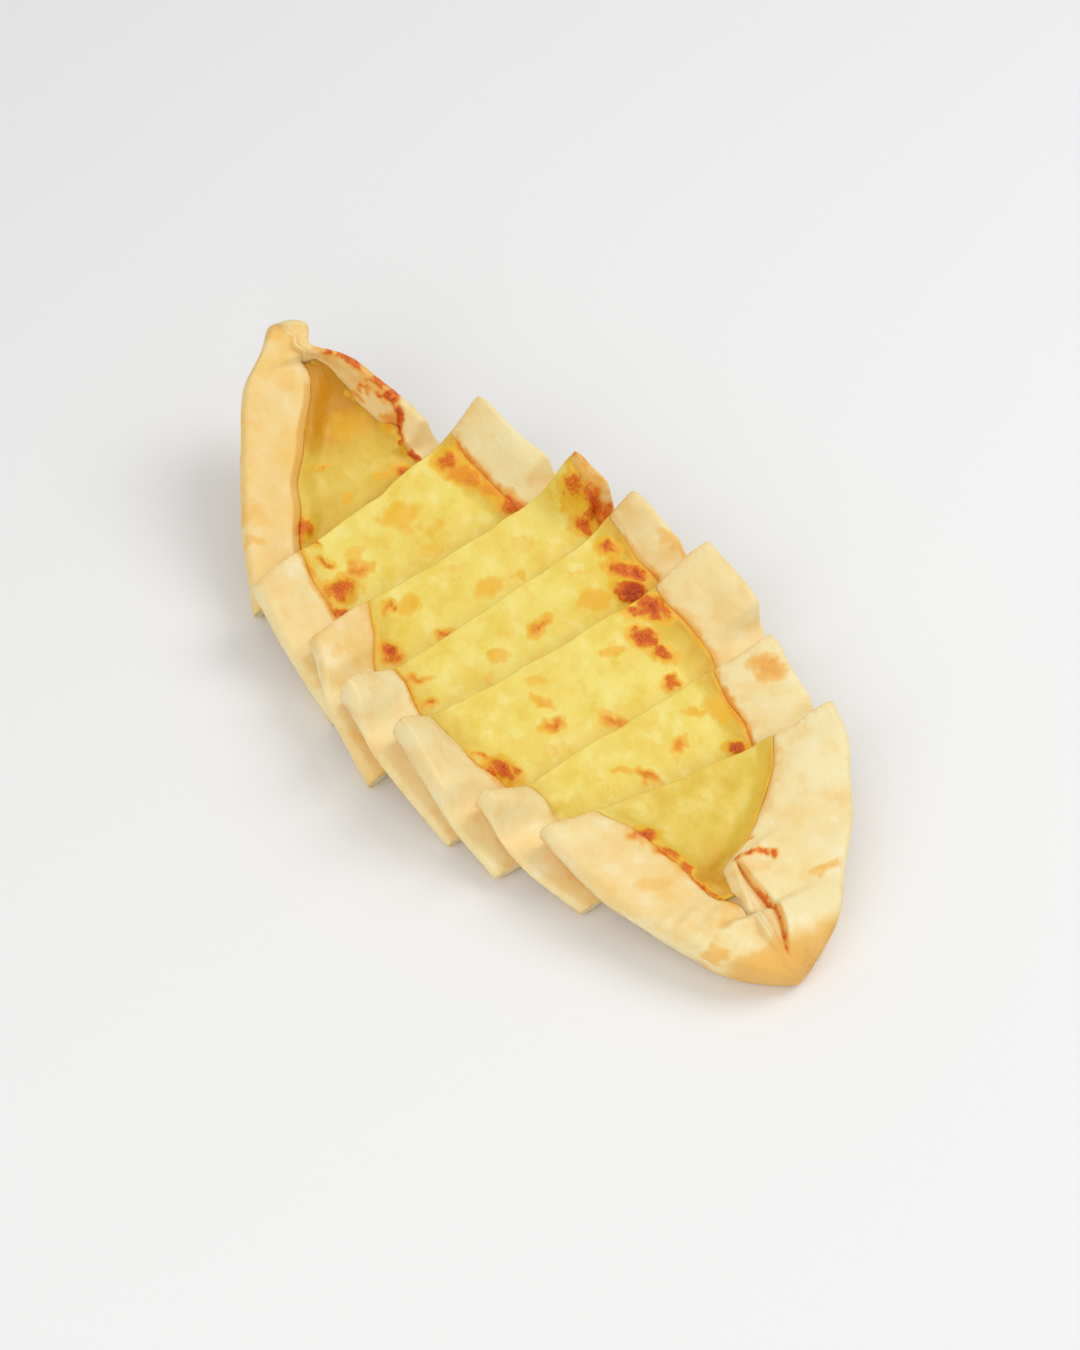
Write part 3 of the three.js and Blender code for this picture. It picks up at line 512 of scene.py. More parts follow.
def rim_outline(section, index, side):
    """One side of the dough's outline, as (out, up, stretch) from the table to the trough."""
    half, lip_out, wall, lip = (side[name] for name in ("half", "lip_out", "wall", "lip"))
    sign, tuck, closed, x = side["sign"], side["tuck"], section["closed"], section["x"]
    points = []
    for part in (0.36, 0.72):
        points.append((part * (half - FOOT_ROUND), belly_at(part) + 0 * half, BOTTOM))
    turns = ((-90, BOTTOM), (-60, FOOT), (-30, FOOT), (0, WALL), (28, WALL), (52, WALL),
             (74, CROWN), (90, CROWN))
    for degrees, stretch in turns:
        turn = math.radians(degrees)
        round_by = FOOT_ROUND if degrees < 0 else side["crown"]
        rise = WIDEST_AT if degrees < 0 else 1 - WIDEST_AT
        out = half - round_by * (1 - math.cos(turn))
        free = wall * (WIDEST_AT + rise * math.sin(turn))
        points.append((out, pressed_height(index, x, sign * out, free), stretch))
    crown = half - side["crown"]
    for t in (0.2, 0.4, 0.6, 0.8):
        out = ramp(crown, lip_out + LIP_ROUND, t)
        puff = FLAP_PUFF * math.sin(math.pi * t) * (1 - side["sealed"])
        puff = puff + crag_at(index, section["from_far"], sign * out)
        free = ramp(wall, lip, ramp(t, ease(t), FLAP_HOLLOW)) + puff
        points.append((out, pressed_height(index, x, sign * out, free), FLAP))
    heights = undercut(section, side)
    bare = side["bare"]
    points.append((lip_out + LIP_ROUND, lip, LIP))
    points.append((lip_out, ramp(lip - LIP_ROUND, lip - side["crease"] * 0.3, closed), LIP))
    inset = ramp(0.5, 0.15 * (1 - side["sealed"]), closed)
    under_out = ramp(lip_out + inset, lip_out + 0.3 * tuck, bare)
    points.append((under_out, heights["under"], LIP))
    points.append((lip_out + tuck, heights["tuck_top"], INNER_WALL))
    points.append((lip_out + tuck, heights["floor"], UNDER))
    inner = sign * section["middle"] + 0.55 * section["opening"]
    points.append((inner, floor_height(section, sign * inner), UNDER))
    return points


def crust_ring(section, index):
    """The dough's outline as columns of y and z, with each corner's bake and spacing."""
    right, left = (rim_outline(section, index, section[sign]) for sign in (RIGHT, LEFT))
    left = [(-out, up, stretch) for out, up, stretch in left]
    zero = 0 * section["x"]
    middle = (section["middle"], floor_height(section, section["middle"]), UNDER)
    return [(zero, belly_at(0) + zero, BOTTOM), *right, middle, *left[::-1]]


def cheese_top(section, index, y):
    under = np.where(y < section["middle"], undercut(section, section[LEFT])["under"],
                     undercut(section, section[RIGHT])["under"])
    from_lip = section["opening"] - np.abs(y - section["middle"])
    flat = floor_height(section, y) + GAP + CHEESE_THICKNESS
    climb = fade(from_lip / CLIMB_WIDTH)
    ripple = CHEESE_WAVE * wave(section["along"] + 0.6 * y, CHEESE_WAVELENGTH, 1 + y / 40)
    crag = crag_at(index, section["from_far"], y)
    bare = by_side(section, y, "bare")
    edge = ramp(np.maximum(by_side(section, y, "lip") - CLIMB_SHORT, under), flat + 0.5, bare)
    free = ramp(flat, edge, climb) + (ripple + crag) * clamp01(from_lip / 2)
    return pressed_height(index, section["x"], y, free)


CHEESE_TOP, CHEESE_HIDDEN = (1.0, 0.56), (0.0, 1.6)
CHEESE_TOP_POINTS = 41
MELTED_IN = 0.35


def cheese_ring(section, index):
    left, right = section[LEFT], section[RIGHT]
    middle, opening = section["middle"], section["opening"]
    ring = []
    for t in (-1, -0.5, 0, 0.5, 1):
        tuck = left["tuck"] if t < 0 else right["tuck"]
        y = middle + t * (opening + tuck - GAP - TUCK_CLEARANCE)
        ring.append((y, floor_height(section, y) + GAP, CHEESE_HIDDEN))

    def tuck_edge(side):
        heights = undercut(section, side)
        bare, floor = side["bare"], heights["floor"]
        deep = side["lip_out"] + side["tuck"] - GAP - TUCK_CLEARANCE
        mouth = ramp(side["lip_out"] + TUCK_CLEARANCE, deep, bare)
        deep_up = ramp(heights["tuck_top"] - GAP - TUCK_CLEARANCE, floor + GAP + 0.9, bare)
        mouth_up = ramp(heights["under"] - GAP - TUCK_CLEARANCE, floor + GAP + 1.8, bare)
        return [(side["sign"] * deep, deep_up, CHEESE_HIDDEN),
                (side["sign"] * mouth, mouth_up, CHEESE_HIDDEN)]

    ring += tuck_edge(right)
    # The cheese has melted against the lips, and reaches into them by a hair.
    over_bare = ramp(opening + MELTED_IN, opening + right["tuck"] + MELTED_IN, right["bare"])
    right_edge, left_edge = middle + over_bare, middle - opening - MELTED_IN
    for j in range(CHEESE_TOP_POINTS):
        y = ramp(right_edge, left_edge, j / (CHEESE_TOP_POINTS - 1))
        ring.append((y, cheese_top(section, index, y), CHEESE_TOP))
    return ring + tuck_edge(left)[::-1]


# ---- Roughness of the baked surfaces ----------------------------------------------------

# Layers of grain: the height and size of their lumps, and which one each is.
CUT_BENDS = ((1, 21, 51), (0.6, 8, 52))
SPOT_EDGES = (((1.5, 3.4, 41), (0.9, 1.5, 42)), ((1.5, 3.4, 43), (0.9, 1.5, 44)))
TOAST_PATCHES = ((0.9, 4.2, 45), (0.5, 1.8, 46))
DOUGH_LUMPS, DOUGH_SKIN = ((0.55, 13, 3), (0.24, 5.5, 4)), ((0.07, 1.9, 5), (0.04, 0.9, 6))
DOUGH_CHAR, DOUGH_CRUMB = ((0.7, 2.1, 8), (0.4, 1.0, 9)), ((0.28, 2.2, 12), (0.2, 0.9, 13))
CHEESE_LUMPS = ((0.4, 9, 21), (0.2, 4, 22), (0.06, 1.5, 23))
CHEESE_CHAR, CHEESE_CUT = ((1.5, 2.2, 24), (0.9, 1.1, 25)), ((0.14, 2.6, 26), (0.07, 1.0, 27))

NOISE_SEED = 7
lattice = np.random.default_rng(NOISE_SEED).random((64, 64, 64))


def grain(points, size, shift=0):
    """Smooth random relief from -1 to 1, with lumps of about this size."""
    at = points / size + shift * 7.31
    cell = np.floor(at).astype(int)
    t = at - cell
    t = t * t * (3 - 2 * t)
    total = 0.0
    for dx in (0, 1):
        for dy in (0, 1):
            for dz in (0, 1):
                value = lattice[(cell[..., 0] + dx) % 64, (cell[..., 1] + dy) % 64,
                                (cell[..., 2] + dz) % 64]
                weight = np.ones_like(value)
                for axis, d in enumerate((dx, dy, dz)):
                    weight = weight * (t[..., axis] if d else 1 - t[..., axis])
                total = total + weight * value
    return 2 * total - 1


def relief(points, layers, creased=False):
    """Layers of grain added up, each with its height, its lumps' size and which one it is."""
    grains = ((height, grain(points, size, shift)) for height, size, shift in layers)
    return sum(height * (np.abs(value) if creased else value) for height, value in grains)


def fine_ring(corners, rounds):
    """A ring of corners made fine and softened: arrays (sections, points) of y, z and bake."""
    ys, zs = (np.stack([c[k] + 0 * corners[0][0] for c in corners], 1) for k in (0, 1))
    bake, spacing = np.array([c[2] for c in corners]).T
    fine = []
    for j in range(len(corners)):
        k = (j + 1) % len(corners)
        longest = np.hypot(ys[:, k] - ys[:, j], zs[:, k] - zs[:, j]).max()
        steps = max(1, math.ceil(longest / min(spacing[j], spacing[k])))
        fine += [[ramp(v[..., j], v[..., k], step / steps) for v in (ys, zs, bake)]
                 for step in range(steps)]
    fine_y, fine_z, fine_bake = zip(*fine)
    y, z = np.stack(fine_y, 1), np.stack(fine_z, 1)
    for _ in range(rounds):
        y, z = (v + 0.25 * (np.roll(v, 1, 1) + np.roll(v, -1, 1) - 2 * v) for v in (y, z))
    return y, z, np.array(fine_bake)


def stations(index):
    """Places along a slice where it has a section: even, and crowded at a cut or a tip."""
    start, end = CUTS[index], CUTS[index + 1]
    places = list(np.linspace(start, end, round((end - start) / ALONG_SPACING) + 1))
    crowded = []
    for at, inward, is_tip in ((start, 1, index == 0), (end, -1, index == LAST)):
        steps, clear = (TIP_STATIONS, 0.3) if is_tip else (CUT_STATIONS, 0.2)
        places = [place for place in places if inward * (place - at) > steps[-1] + clear]
        crowded += [at + inward * step for step in steps]
    return np.array(sorted(places + crowded))


def outward(grid):
    """Unit normals of a grid of closed rings, pointing out of the solid."""
    along = np.gradient(grid, axis=0)
    round_ring = np.roll(grid, -1, 1) - np.roll(grid, 1, 1)
    normal = np.cross(round_ring, along)
    return normal / np.maximum(np.linalg.norm(normal, axis=2, keepdims=True), 1e-9)


def cut_edge_inset(to_cut):
    inside = clamp01(1 - to_cut / CUT_EDGE)
    return CUT_EDGE * (1 - np.sqrt(1 - inside**2)) * 0.7


def in_outline(points, outline):
    """Which points lie inside a closed outline."""
    inside = np.zeros(len(points), bool)
    nxt = np.roll(outline, -1, 0)
    for (y0, z0), (y1, z1) in zip(outline, nxt):
        if z0 != z1:
            crosses = (points[:, 1] < z0) != (points[:, 1] < z1)
            at = y0 + (points[:, 1] - z0) / (z1 - z0) * (y1 - y0)
            inside ^= crosses & (points[:, 0] < at)
    return inside


def face_points(outline, spacing, seed):
    """Loosely even points inside an outline, clear of its edge."""
    low, high = outline.min(0), outline.max(0)
    columns, rows = (np.arange(low[k], high[k], spacing * (1, 0.87)[k]) for k in (0, 1))
    ys, zs = np.meshgrid(columns, rows)
    ys = ys + (np.arange(zs.shape[0]) % 2)[:, None] * spacing / 2
    points = np.stack([ys.ravel(), zs.ravel()], 1)
    points = points + np.random.default_rng(seed).uniform(-0.18, 0.18, points.shape) * spacing
    points = points[in_outline(points, outline)]
    ring = np.concatenate([ramp(outline, np.roll(outline, -1, 0), t) for t in (0, 0.5)])
    clear = np.array([np.hypot(*(ring - p).T).min() > spacing * 0.55 for p in points], bool)
    return points[clear] if len(points) else points


def close_end(outline, first_id, next_id, spacing, facing, seed):
    """Triangles that fill an end ring, and the extra points they need, as rows of y and z."""
    extra = face_points(outline, spacing, seed)
    both = [Vector(p) for p in outline] + [Vector(p) for p in extra]
    made = delaunay_2d_cdt(both, [], [list(range(len(outline)))], 1, 1e-6, True)
    kept = [ids[0] if ids else None for ids in made[3]]
    spots = np.array([list(p) for p in made[0]])
    centres = np.array([spots[list(face)].mean(0) for face in made[2]])
    filled = in_outline(centres, outline)
    triangles = []
    for face, is_filled in zip(made[2], filled):
        corners = [kept[v] for v in face]
        if not is_filled or None in corners or len(set(corners)) < 3:
            continue
        ids = [first_id + c if c < len(outline) else next_id + c - len(outline) for c in corners]
        triangles.append(ids if facing > 0 else ids[::-1])
    return extra, triangles


def ear_relief(section, y):
    """The ear's relief, the toast and painted shade under its lip, and the pocket's depth."""
    from_far = section["from_far"][:, None]
    there = ease((from_far - EAR_START) / EAR_RUN)
    there = there * fade((from_far - EAR_END) / EAR_FADE)
    ridge_at, lip_at = run_of(EAR_RIDGE, from_far), run_of(EAR_LIP, from_far)
    ridge = RIDGE_HEIGHT * np.exp(-(((y - ridge_at) / RIDGE_WIDTH) ** 2))
    over_lip = ease((y - lip_at + LIP_STEP / 2) / LIP_STEP)
    pocket = ease((y - ridge_at) / (lip_at - ridge_at + 0.5)) * (1 - over_lip)
    lip = LIP_RISE * over_lip * np.exp(-(((y - lip_at) / 4) ** 2))
    lip_toast_and_shade = np.exp(-(((y - lip_at + 0.7) / 0.9) ** 2))
    return there * (ridge - POCKET_DEPTH * pocket + lip), there * lip_toast_and_shade, there * pocket


def pleat_relief(section, y):
    from_far = section["from_far"][:, None]
    there = ease((from_far - PLEATS["from"]) / 5) * fade((from_far - PLEATS["to"]) / 6)
    there = there * ease((-8 - y) / 5) * ease((y + 38) / 8)
    turn = 2 * np.pi * (from_far + PLEATS["slant"] * y) / PLEATS["length"]
    return PLEATS["height"] * there * np.sin(turn)


def spot_masks(index, section, y, points):
    """How golden and how charred each point of a slice is, from its spots and toasted lines."""
    from_far = section["from_far"][:, None] + 0 * y
    ragged = [relief(points, layers) for layers in SPOT_EDGES]
    gold, char = np.zeros(from_far.shape), np.zeros(from_far.shape)
    for place, across, length, width, turn, golden, charred in SPOTS[index]:
        c, s = math.cos(math.radians(turn)), math.sin(math.radians(turn))
        right, near = y - across + ragged[0], from_far - place + ragged[1]
        away = np.hypot((right * c + near * s) / length, (near * c - right * s) / width)
        gold = np.maximum(gold, golden * fade((away - 0.4) / 1.1))
        char = np.maximum(char, charred * fade((away - 0.1) / 0.8))
    patchy = ease(relief(points, TOAST_PATCHES) + 0.62)
    for sign, line, start, end, width, golden, charred in TOASTED[index]:
        side = section[sign]
        at = side["lip_out"] if line == "lip" else side["half"] - side["crown"] - 0.3
        away = np.abs(sign * y - at[:, None] + 0.5 * ragged[0]) / width
        there = ease((from_far - start) / 3) * fade((from_far - end) / 3)
        broad = there * fade((away - 0.3) / 0.9)
        gold = np.maximum(gold, golden * broad * ramp(0.55, 1, patchy))
        char = np.maximum(char, charred * there * fade((away - 0.1) / 0.8) * patchy)
    return gold, char


def add_object(name, data):
    made = bpy.data.objects.new(name, data)
    bpy.context.scene.collection.objects.link(made)
    return made


def make_piece(part, material, index, grid, marks, crumb, crumb_spacing):
    """Closes a grid of rings, sets it on the table and makes it a piece of the part."""
    rows, count = grid.shape[:2]
    points = grid.reshape(-1, 3)
    values = {key: value.reshape(-1) for key, value in marks.items()}
    values["cut"] = np.zeros(len(points))
    number = np.arange(rows * count).reshape(rows, count)
    after = np.roll(number, -1, 1)
    quads = np.stack([number[:-1], after[:-1], after[1:], number[1:]], -1)
    faces = quads.reshape(-1, 4).tolist()
    total = len(points)
    all_points = [points]
    for row, facing, seed in ((0, -1, 11), (rows - 1, 1, 12)):
        extra, triangles = close_end(grid[row, :, 1:], int(number[row, 0]), total, crumb_spacing,
                                     facing, seed + index)
        if len(extra):
            x = np.full(len(extra), grid[row, 0, 0])
            fresh = np.stack([x, extra[:, 0], extra[:, 1]], 1)
            all_points.append(fresh)
            is_cut = not ((index == 0 and row == 0) or (index == LAST and row == rows - 1))
            for key in values:
                fill = np.full(len(extra), 1.0 if key == "cut" and is_cut else 0.0)
                if key == "baked":
                    fill = fill + clamp01(1 - extra[:, 1] / BROWNED_DEPTH)
                values[key] = np.concatenate([values[key], fill])
            if is_cut:
                fresh[:, 0] += facing * relief(fresh, crumb)
            total += len(extra)
        faces += triangles
    points = np.concatenate(all_points)
    points[:, 0] += wander(index, points[:, 0], points[:, 1])
    turn, place = placement(index)
    placed = points @ turn.T + place
    placed[:, 2] = np.maximum(placed[:, 2], 0)
    placed = (placed + np.array(ROW_CENTRE)) * MM
    name = f"{part}_slice_{index + 1}"
    mesh = bpy.data.meshes.new(name)
    mesh.from_pydata(placed.tolist(), [], faces)
    mesh.validate()
    for key, value in values.items():
        attribute = mesh.attributes.new(key, "FLOAT", "POINT")
        attribute.data.foreach_set("value", value.astype(np.float32))
    mesh.polygons.foreach_set("use_smooth", [True] * len(mesh.polygons))
    mesh.materials.append(material)
    piece = add_object(name, mesh)
    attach(piece, "root")
    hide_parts(f"{part}_{index + 1}")


def grid_of(section, y, z, index):
    """Rings set at their places: sagged, and drawn in where a tip is rounded off."""
    x = np.broadcast_to(section["x"][:, None], y.shape)
    scale = section["scale"][:, None]
    core = TIP_CORE * TIP_RIM
    level = z - sag_at(index, x, y)
    return np.stack([x, y * scale, core + (level - core) * scale], 2)


def wander(index, x, y):
    """How far a place on a slice is moved along it, because its cuts aren't quite straight."""
    moved = 0 * x
    length = CUTS[index + 1] - CUTS[index]
    for at_cut, cut in ((x + length, CUTS[index]), (-x, CUTS[index + 1])):
        if 0 < cut < BOAT_LENGTH:
            across = np.stack([y, 0 * y + cut * 3.1, 0 * y], -1)
            bends = relief(across, CUT_BENDS)
            moved = moved + CUT_WANDER * bends * fade(at_cut / WANDER_REACH)
    for sign in (LEFT, RIGHT):
        back = corner_change(index, sign, x + length)[2]
        moved = moved - back * ease((sign * y - CORNER_FROM) / CORNER_RUN)
    return moved


def free_of_next(index, x, y):
    """1 where nothing lies on the slice, 0 where the next one does."""
    if index == LAST:
        return np.ones(np.broadcast(x, y).shape)
    return 1 - covered_by_next(index, x, y)[0]


def rings_of(index, section, corners, rounds):
    """A piece's rings before its relief: grid, normals, places in the boat, y and bake."""
    y, z, bake = fine_ring(corners, rounds)
    grid = grid_of(section, y, z, index)
    return grid, outward(grid), grid + np.array([CUTS[index + 1], 0, 0]), y, bake


def make_crust(index, material):
    section = section_at(index, stations(index))
    grid, normal, own, y, bake = rings_of(index, section, crust_ring(section, index),
                                          CRUST_ROUNDS)
    open_air = free_of_next(index, grid[..., 0], grid[..., 1])
    outside = bake > 0
    on_top = ease((normal[..., 2] + 0.25) / 0.4)
    gold, char = (mask * on_top for mask in spot_masks(index, section, y, own))
    blisters = relief(own, DOUGH_CHAR, creased=True) * char
    blisters = blisters * ease(section["to_cut"][:, None] / 2)
    seen = ramp(COVERED_RELIEF, 1.0, open_air) * np.where(outside, 1.0, INNER_RELIEF)
    away = relief(own, DOUGH_LUMPS) * seen + relief(own, DOUGH_SKIN) + blisters
    away = away * ease(section["scale"][:, None] * 1.2)
    away = away - cut_edge_inset(section["to_cut"])[:, None] * np.where(outside, 1.0, 0.3)
    grid = grid + normal * away[..., None] * np.array([0, 1, 1])
    if index == LAST:
        folds, lip_toast_and_shade, pocket = ear_relief(section, grid[..., 1])
        upper = ease((grid[..., 2] - EAR_FOOT) / 4)
        grid[..., 2] += upper * (folds + pleat_relief(section, grid[..., 1]))
        # Painted shade: golden at the lip's foot and deeper in the pocket, charred towards the tip.
        gold = np.maximum(gold, upper * np.maximum(0.9 * lip_toast_and_shade, 0.35 * pocket))
        low_part = ease((section["from_far"][:, None] - EAR_CHAR_FROM) / EAR_CHAR_RUN)
        patchy = ease(grain(own, 3, 31) + 0.6)
        char = np.maximum(char, EAR_CHAR * lip_toast_and_shade * upper * low_part * patchy)
    if index == 0:
        inside = section[LEFT]["lip_out"][:, None] + y
        there = ease((section["from_far"] - ROLL["from"]) / ROLL["run"])[:, None] * on_top
        out = -inside / ROLL["width"]
        drop = ROLL["drop"] * fade(out) - ROLL["rise"] * np.exp(-(((out - 1) / 0.4) ** 2))
        grid[..., 2] -= there * drop * ease((0.5 - inside) / 1.0)
        on_roll = there * fade((out - 0.8) / 0.3) * (out > -0.2)
        gold = np.maximum(gold, ROLL["golden"] * on_roll)
    edge = np.exp(-section["to_cut"] / 1.3)[:, None] * (bake > 0.05)
    baked = bake[None, :] + 0 * y
    low = ease((LOW_WALL - grid[..., 2]) / LOW_WALL) * ((bake > 0.1) & (bake < 0.4))
    # Painted shade where the next slice lies on the left flaps.
    shade_under_next = outside * (1 - open_air) * ease((-y - SHADE_UNDER_NEXT_FROM) / 10)
    baked = np.maximum(np.maximum(baked, LOW_BAKE * low), SHADE_UNDER_NEXT * shade_under_next)
    tan = np.where(y < section["middle"][:, None], *SLICES[index]["tan"]) * on_top
    # The last tip is browned, and darker still as painted shade.
    if index == LAST:
        tip = ease((section["from_far"][:, None] - TIP_DARKER_FROM) / TIP_DARKER_RUN) + 0 * y
        tan, baked = np.maximum(tan, TIP_TAN_AND_SHADE * tip), np.maximum(baked, TIP_BAKE_AND_SHADE * tip)
    marks = {"gold": gold, "char": char, "baked": baked, "edge": edge + 0 * y, "tan": tan}
    make_piece("crust", material, index, grid, marks, DOUGH_CRUMB, CRUST_CUT_SPACING)


def make_cheese(index, material):
    along = stations(index)
    kept = np.flatnonzero(section_at(index, along)["closed"] < CLOSED_TO_CHEESE)
    section = section_at(index, along[kept[0]:kept[-1] + 1])
    grid, normal, own, y, face = rings_of(index, section, cheese_ring(section, index),
                                          CHEESE_ROUNDS)
    open_air = free_of_next(index, grid[..., 0], grid[..., 1])
    top = (face > 0.5)[None, :] * ease((normal[..., 2] - 0.1) / 0.4)
    from_lip = section["opening"][:, None] - np.abs(y - section["middle"][:, None])
    gold, char = (mask * top for mask in spot_masks(index, section, y, own))
    bumps = relief(own, CHEESE_CHAR, creased=True) * char
    bumps = bumps * ease(section["to_cut"][:, None] / 2)
    soft = relief(own, CHEESE_LUMPS) * ease(from_lip / 3) * ramp(0.3, 1, open_air)
    away = (soft + bumps + 0.12 * gold) * top
    away = away - cut_edge_inset(section["to_cut"])[:, None] * top * 0.8
    grid = grid + normal * away[..., None] * np.array([0, 1, 1])
    # Painted shade: deeper yellow by the lips, in the first trough and towards the last tip.
    is_right = ease((y - section["middle"][:, None] + 6) / 12)
    reach, darkest = CHEESE_SHADE_BY_LIP[index]
    deep = fade(from_lip / reach) * ramp(0.4, darkest, is_right)
    if index == 0:
        deep = np.maximum(deep, ramp(1.1, 0.45, ease((section["from_far"][:, None] - 30) / 32)))
    if index == LAST:
        deep = np.maximum(deep, ramp(0.4, 0.9, ease((section["from_far"][:, None] - 18) / 18)))
    marks = {"gold": gold, "char": char, "baked": deep * top,
             "edge": np.exp(-section["to_cut"] / 1.1)[:, None] * top}
    make_piece("cheese", material, index, grid, marks, CHEESE_CUT, CHEESE_CUT_SPACING)


# ---- Finishes ---------------------------------------------------------------------------

# From how burnt to how burnt each darker tone of char comes in.
CHAR_STEPS = ((0.05, 0.45), (0.45, 0.95), (1.0, 1.5))


class Paint:
    """A value or colour in a finish. Operators on values add Math nodes."""

    def __init__(self, finish, socket):
        self.finish = finish
        self.socket = socket

    def maths(self, operation, first, second=0.0, clamp=False):
        settings = {"operation": operation, "use_clamp": clamp}
        made = self.finish.node("Math", settings, {0: first, 1: second})
        return Paint(self.finish, made.outputs[0])

    def __add__(self, other):
        return self.maths("ADD", self, other)

    def __sub__(self, other):
        return self.maths("SUBTRACT", self, other)

    def __rsub__(self, other):
        return self.maths("SUBTRACT", other, self)

    def __mul__(self, other):
        return self.maths("MULTIPLY", self, other)

    __radd__ = __add__
    __rmul__ = __mul__

    def clamped(self):
        return self.maths("ADD", self, 0.0, clamp=True)

    def between(self, low, high):
        """0 below low, 1 above high and smooth between them."""
        settings = {"interpolation_type": "SMOOTHSTEP"}
        made = self.finish.node("MapRange", settings, {0: self, 1: low, 2: high, 3: 0.0, 4: 1.0})
        return Paint(self.finish, made.outputs[0])


class Finish:
    """A material of the pide, painted by nodes."""

    def __init__(self, name):
        self.material = bpy.data.materials.new(name)
        self.material.use_nodes = True
        self.tree = self.material.node_tree
        self.tree.nodes.clear()
        self.shader = self.node("BsdfPrincipled")
        self.node("OutputMaterial", {}, {0: self.shader.outputs[0]})
        where = self.node("TexCoord")
        self.place = Paint(self, where.outputs["Object"])

    def node(self, kind, settings=None, sockets=None):
        made = self.tree.nodes.new("ShaderNode" + kind)
        for name, value in (settings or {}).items():
            setattr(made, name, value)
        for name, value in (sockets or {}).items():
            self.set(made.inputs[name], value)
        return made

    def set(self, socket, value):
        if isinstance(value, Paint):
            self.tree.links.new(value.socket, socket)
        elif isinstance(value, bpy.types.NodeSocket):
            self.tree.links.new(value, socket)
        else:
            socket.default_value = value

    def mark(self, name):
        """A value that the mesh carries at its points."""
        made = self.node("Attribute", {"attribute_type": "GEOMETRY", "attribute_name": name})
        return Paint(self, made.outputs["Fac"])

    def noise(self, size, detail=2.0, roughness=0.5, distortion=0.0):
        """Clouds from 0 to 1 with lumps of about this size in millimetres."""
        made = self.node("TexNoise", {"noise_dimensions": "3D"}, {
            "Vector": self.place, "Scale": 1 / (size * MM), "Detail": detail,
            "Roughness": roughness, "Distortion": distortion})
        return Paint(self, made.outputs["Fac"])

    def mix(self, amount, first, second):
        """From the first colour to the second."""
        made = self.node("Mix", {"data_type": "RGBA"}, {0: amount, 6: first, 7: second})
        return Paint(self, made.outputs[2])

    def coat(self, amount, *tone):
        """Lays a colour over what is there, as far as the amount says."""
        self.colour = self.mix(amount, self.colour, shade(*tone))

    def bump(self, height, distance, strength):
        made = self.node("Bump", {}, {"Strength": strength, "Distance": distance * MM,
                                      "Height": height})
        self.set(self.shader.inputs["Normal"], made.outputs["Normal"])

    def give(self, **values):
        for name, value in values.items():
            self.set(self.shader.inputs[name.replace("_", " ")], value)


def shade(red, green, blue):
    """A colour given as on a screen, from 0 to 255, as the shader's own numbers."""
    def linear(value):
        value = value / 255
        return value / 12.92 if value <= 0.04045 else ((value + 0.055) / 1.055) ** 2.4
    return (linear(red), linear(green), linear(blue), 1.0)


def uneven(value, *clouds):
    """A value that clouds raise and lower, each by as much as it says."""
    for cloud, much in clouds:
        value = value + (cloud - 0.5) * much
    return value


def burn(finish, char, fine, speck, *tones):
    """Chars a finish in three steps, and gives how burnt it is."""
    burnt = uneven(char, (fine, 1.1), (speck, 0.8)) * char.between(0.03, 0.25)
    for (low, high), tone in zip(CHAR_STEPS, tones):
        finish.coat(burnt.between(low, high), *tone)
    return burnt


def dough_finish():
    dough = Finish("baked_dough")
    gold, char, baked, edge = map(dough.mark, ("gold", "char", "baked", "edge"))
    cut, tan = dough.mark("cut"), dough.mark("tan")
    broad, patch = dough.noise(34, 2), dough.noise(9, 3, 0.55)
    fine, speck = dough.noise(1.6, 3, 0.6), dough.noise(0.7, 2, 0.6)

    dough.colour = shade(245, 229, 176)
    dough.coat(broad.between(0.38, 0.62), 245, 223, 164)
    dough.coat(patch.between(0.48, 0.66) * 0.6, 242, 209, 140)
    dough.coat((1 - patch).between(0.56, 0.7) * 0.6, 249, 236, 196)
    tanned = uneven(tan, (patch, 0.7), (broad, 0.6)) * tan.between(0.0, 0.15)
    dough.coat(tanned.between(0.0, 0.9) * 0.85, 243, 197, 104)
    peach = dough.noise(27, 2, 0.5, 0.3).between(0.54, 0.68)
    dough.coat(peach * 0.2, 250, 208, 150)
    # Browned where baked, and darker as painted shade under the next slice and at the last tip.
    browning_and_shade = uneven(baked, (patch, 0.9), (fine, 0.25)).clamped()
    dough.coat(browning_and_shade.between(0.22, 0.95) * 0.75, 228, 170, 88)
    scorched = uneven(baked, (patch, 1.3), (fine, 0.5)).between(0.85, 1.15)
    dough.coat(scorched * 0.6, 168, 102, 44)
    golden = uneven(gold, (fine, 0.25), (patch, 0.25)) * gold.between(0.02, 0.3)
    dough.coat(golden.between(0.05, 0.6) * 0.85, 242, 188, 92)
    dough.coat(golden.between(0.5, 1.05), 234, 150, 50)
    dough.coat((edge * 0.6) * fine.between(0.3, 0.6), 230, 180, 96)
    burnt = burn(dough, char, fine, speck, (230, 116, 34), (204, 80, 22), (126, 42, 14))
    crumb = dough.mix(fine.between(0.35, 0.65), shade(238, 214, 160), shade(250, 236, 200))
    crumb = dough.mix(baked.between(0.15, 0.8), crumb, shade(198, 142, 78))
    colour = dough.mix(cut, dough.colour, crumb)
    rough = 0.68 - gold * 0.12 - char * 0.22
    dough.give(Base_Color=colour, Roughness=rough.clamped(), Subsurface_Weight=0.12,
               Subsurface_Scale=0.004, Subsurface_Radius=(1.0, 0.6, 0.3), IOR=1.42)
    height = fine * 0.6 + speck * 0.3 + dough.noise(4, 3) * 0.9 + burnt * fine * 1.5
    dough.bump(height + cut * speck, 0.35, 0.55)
    return dough.material


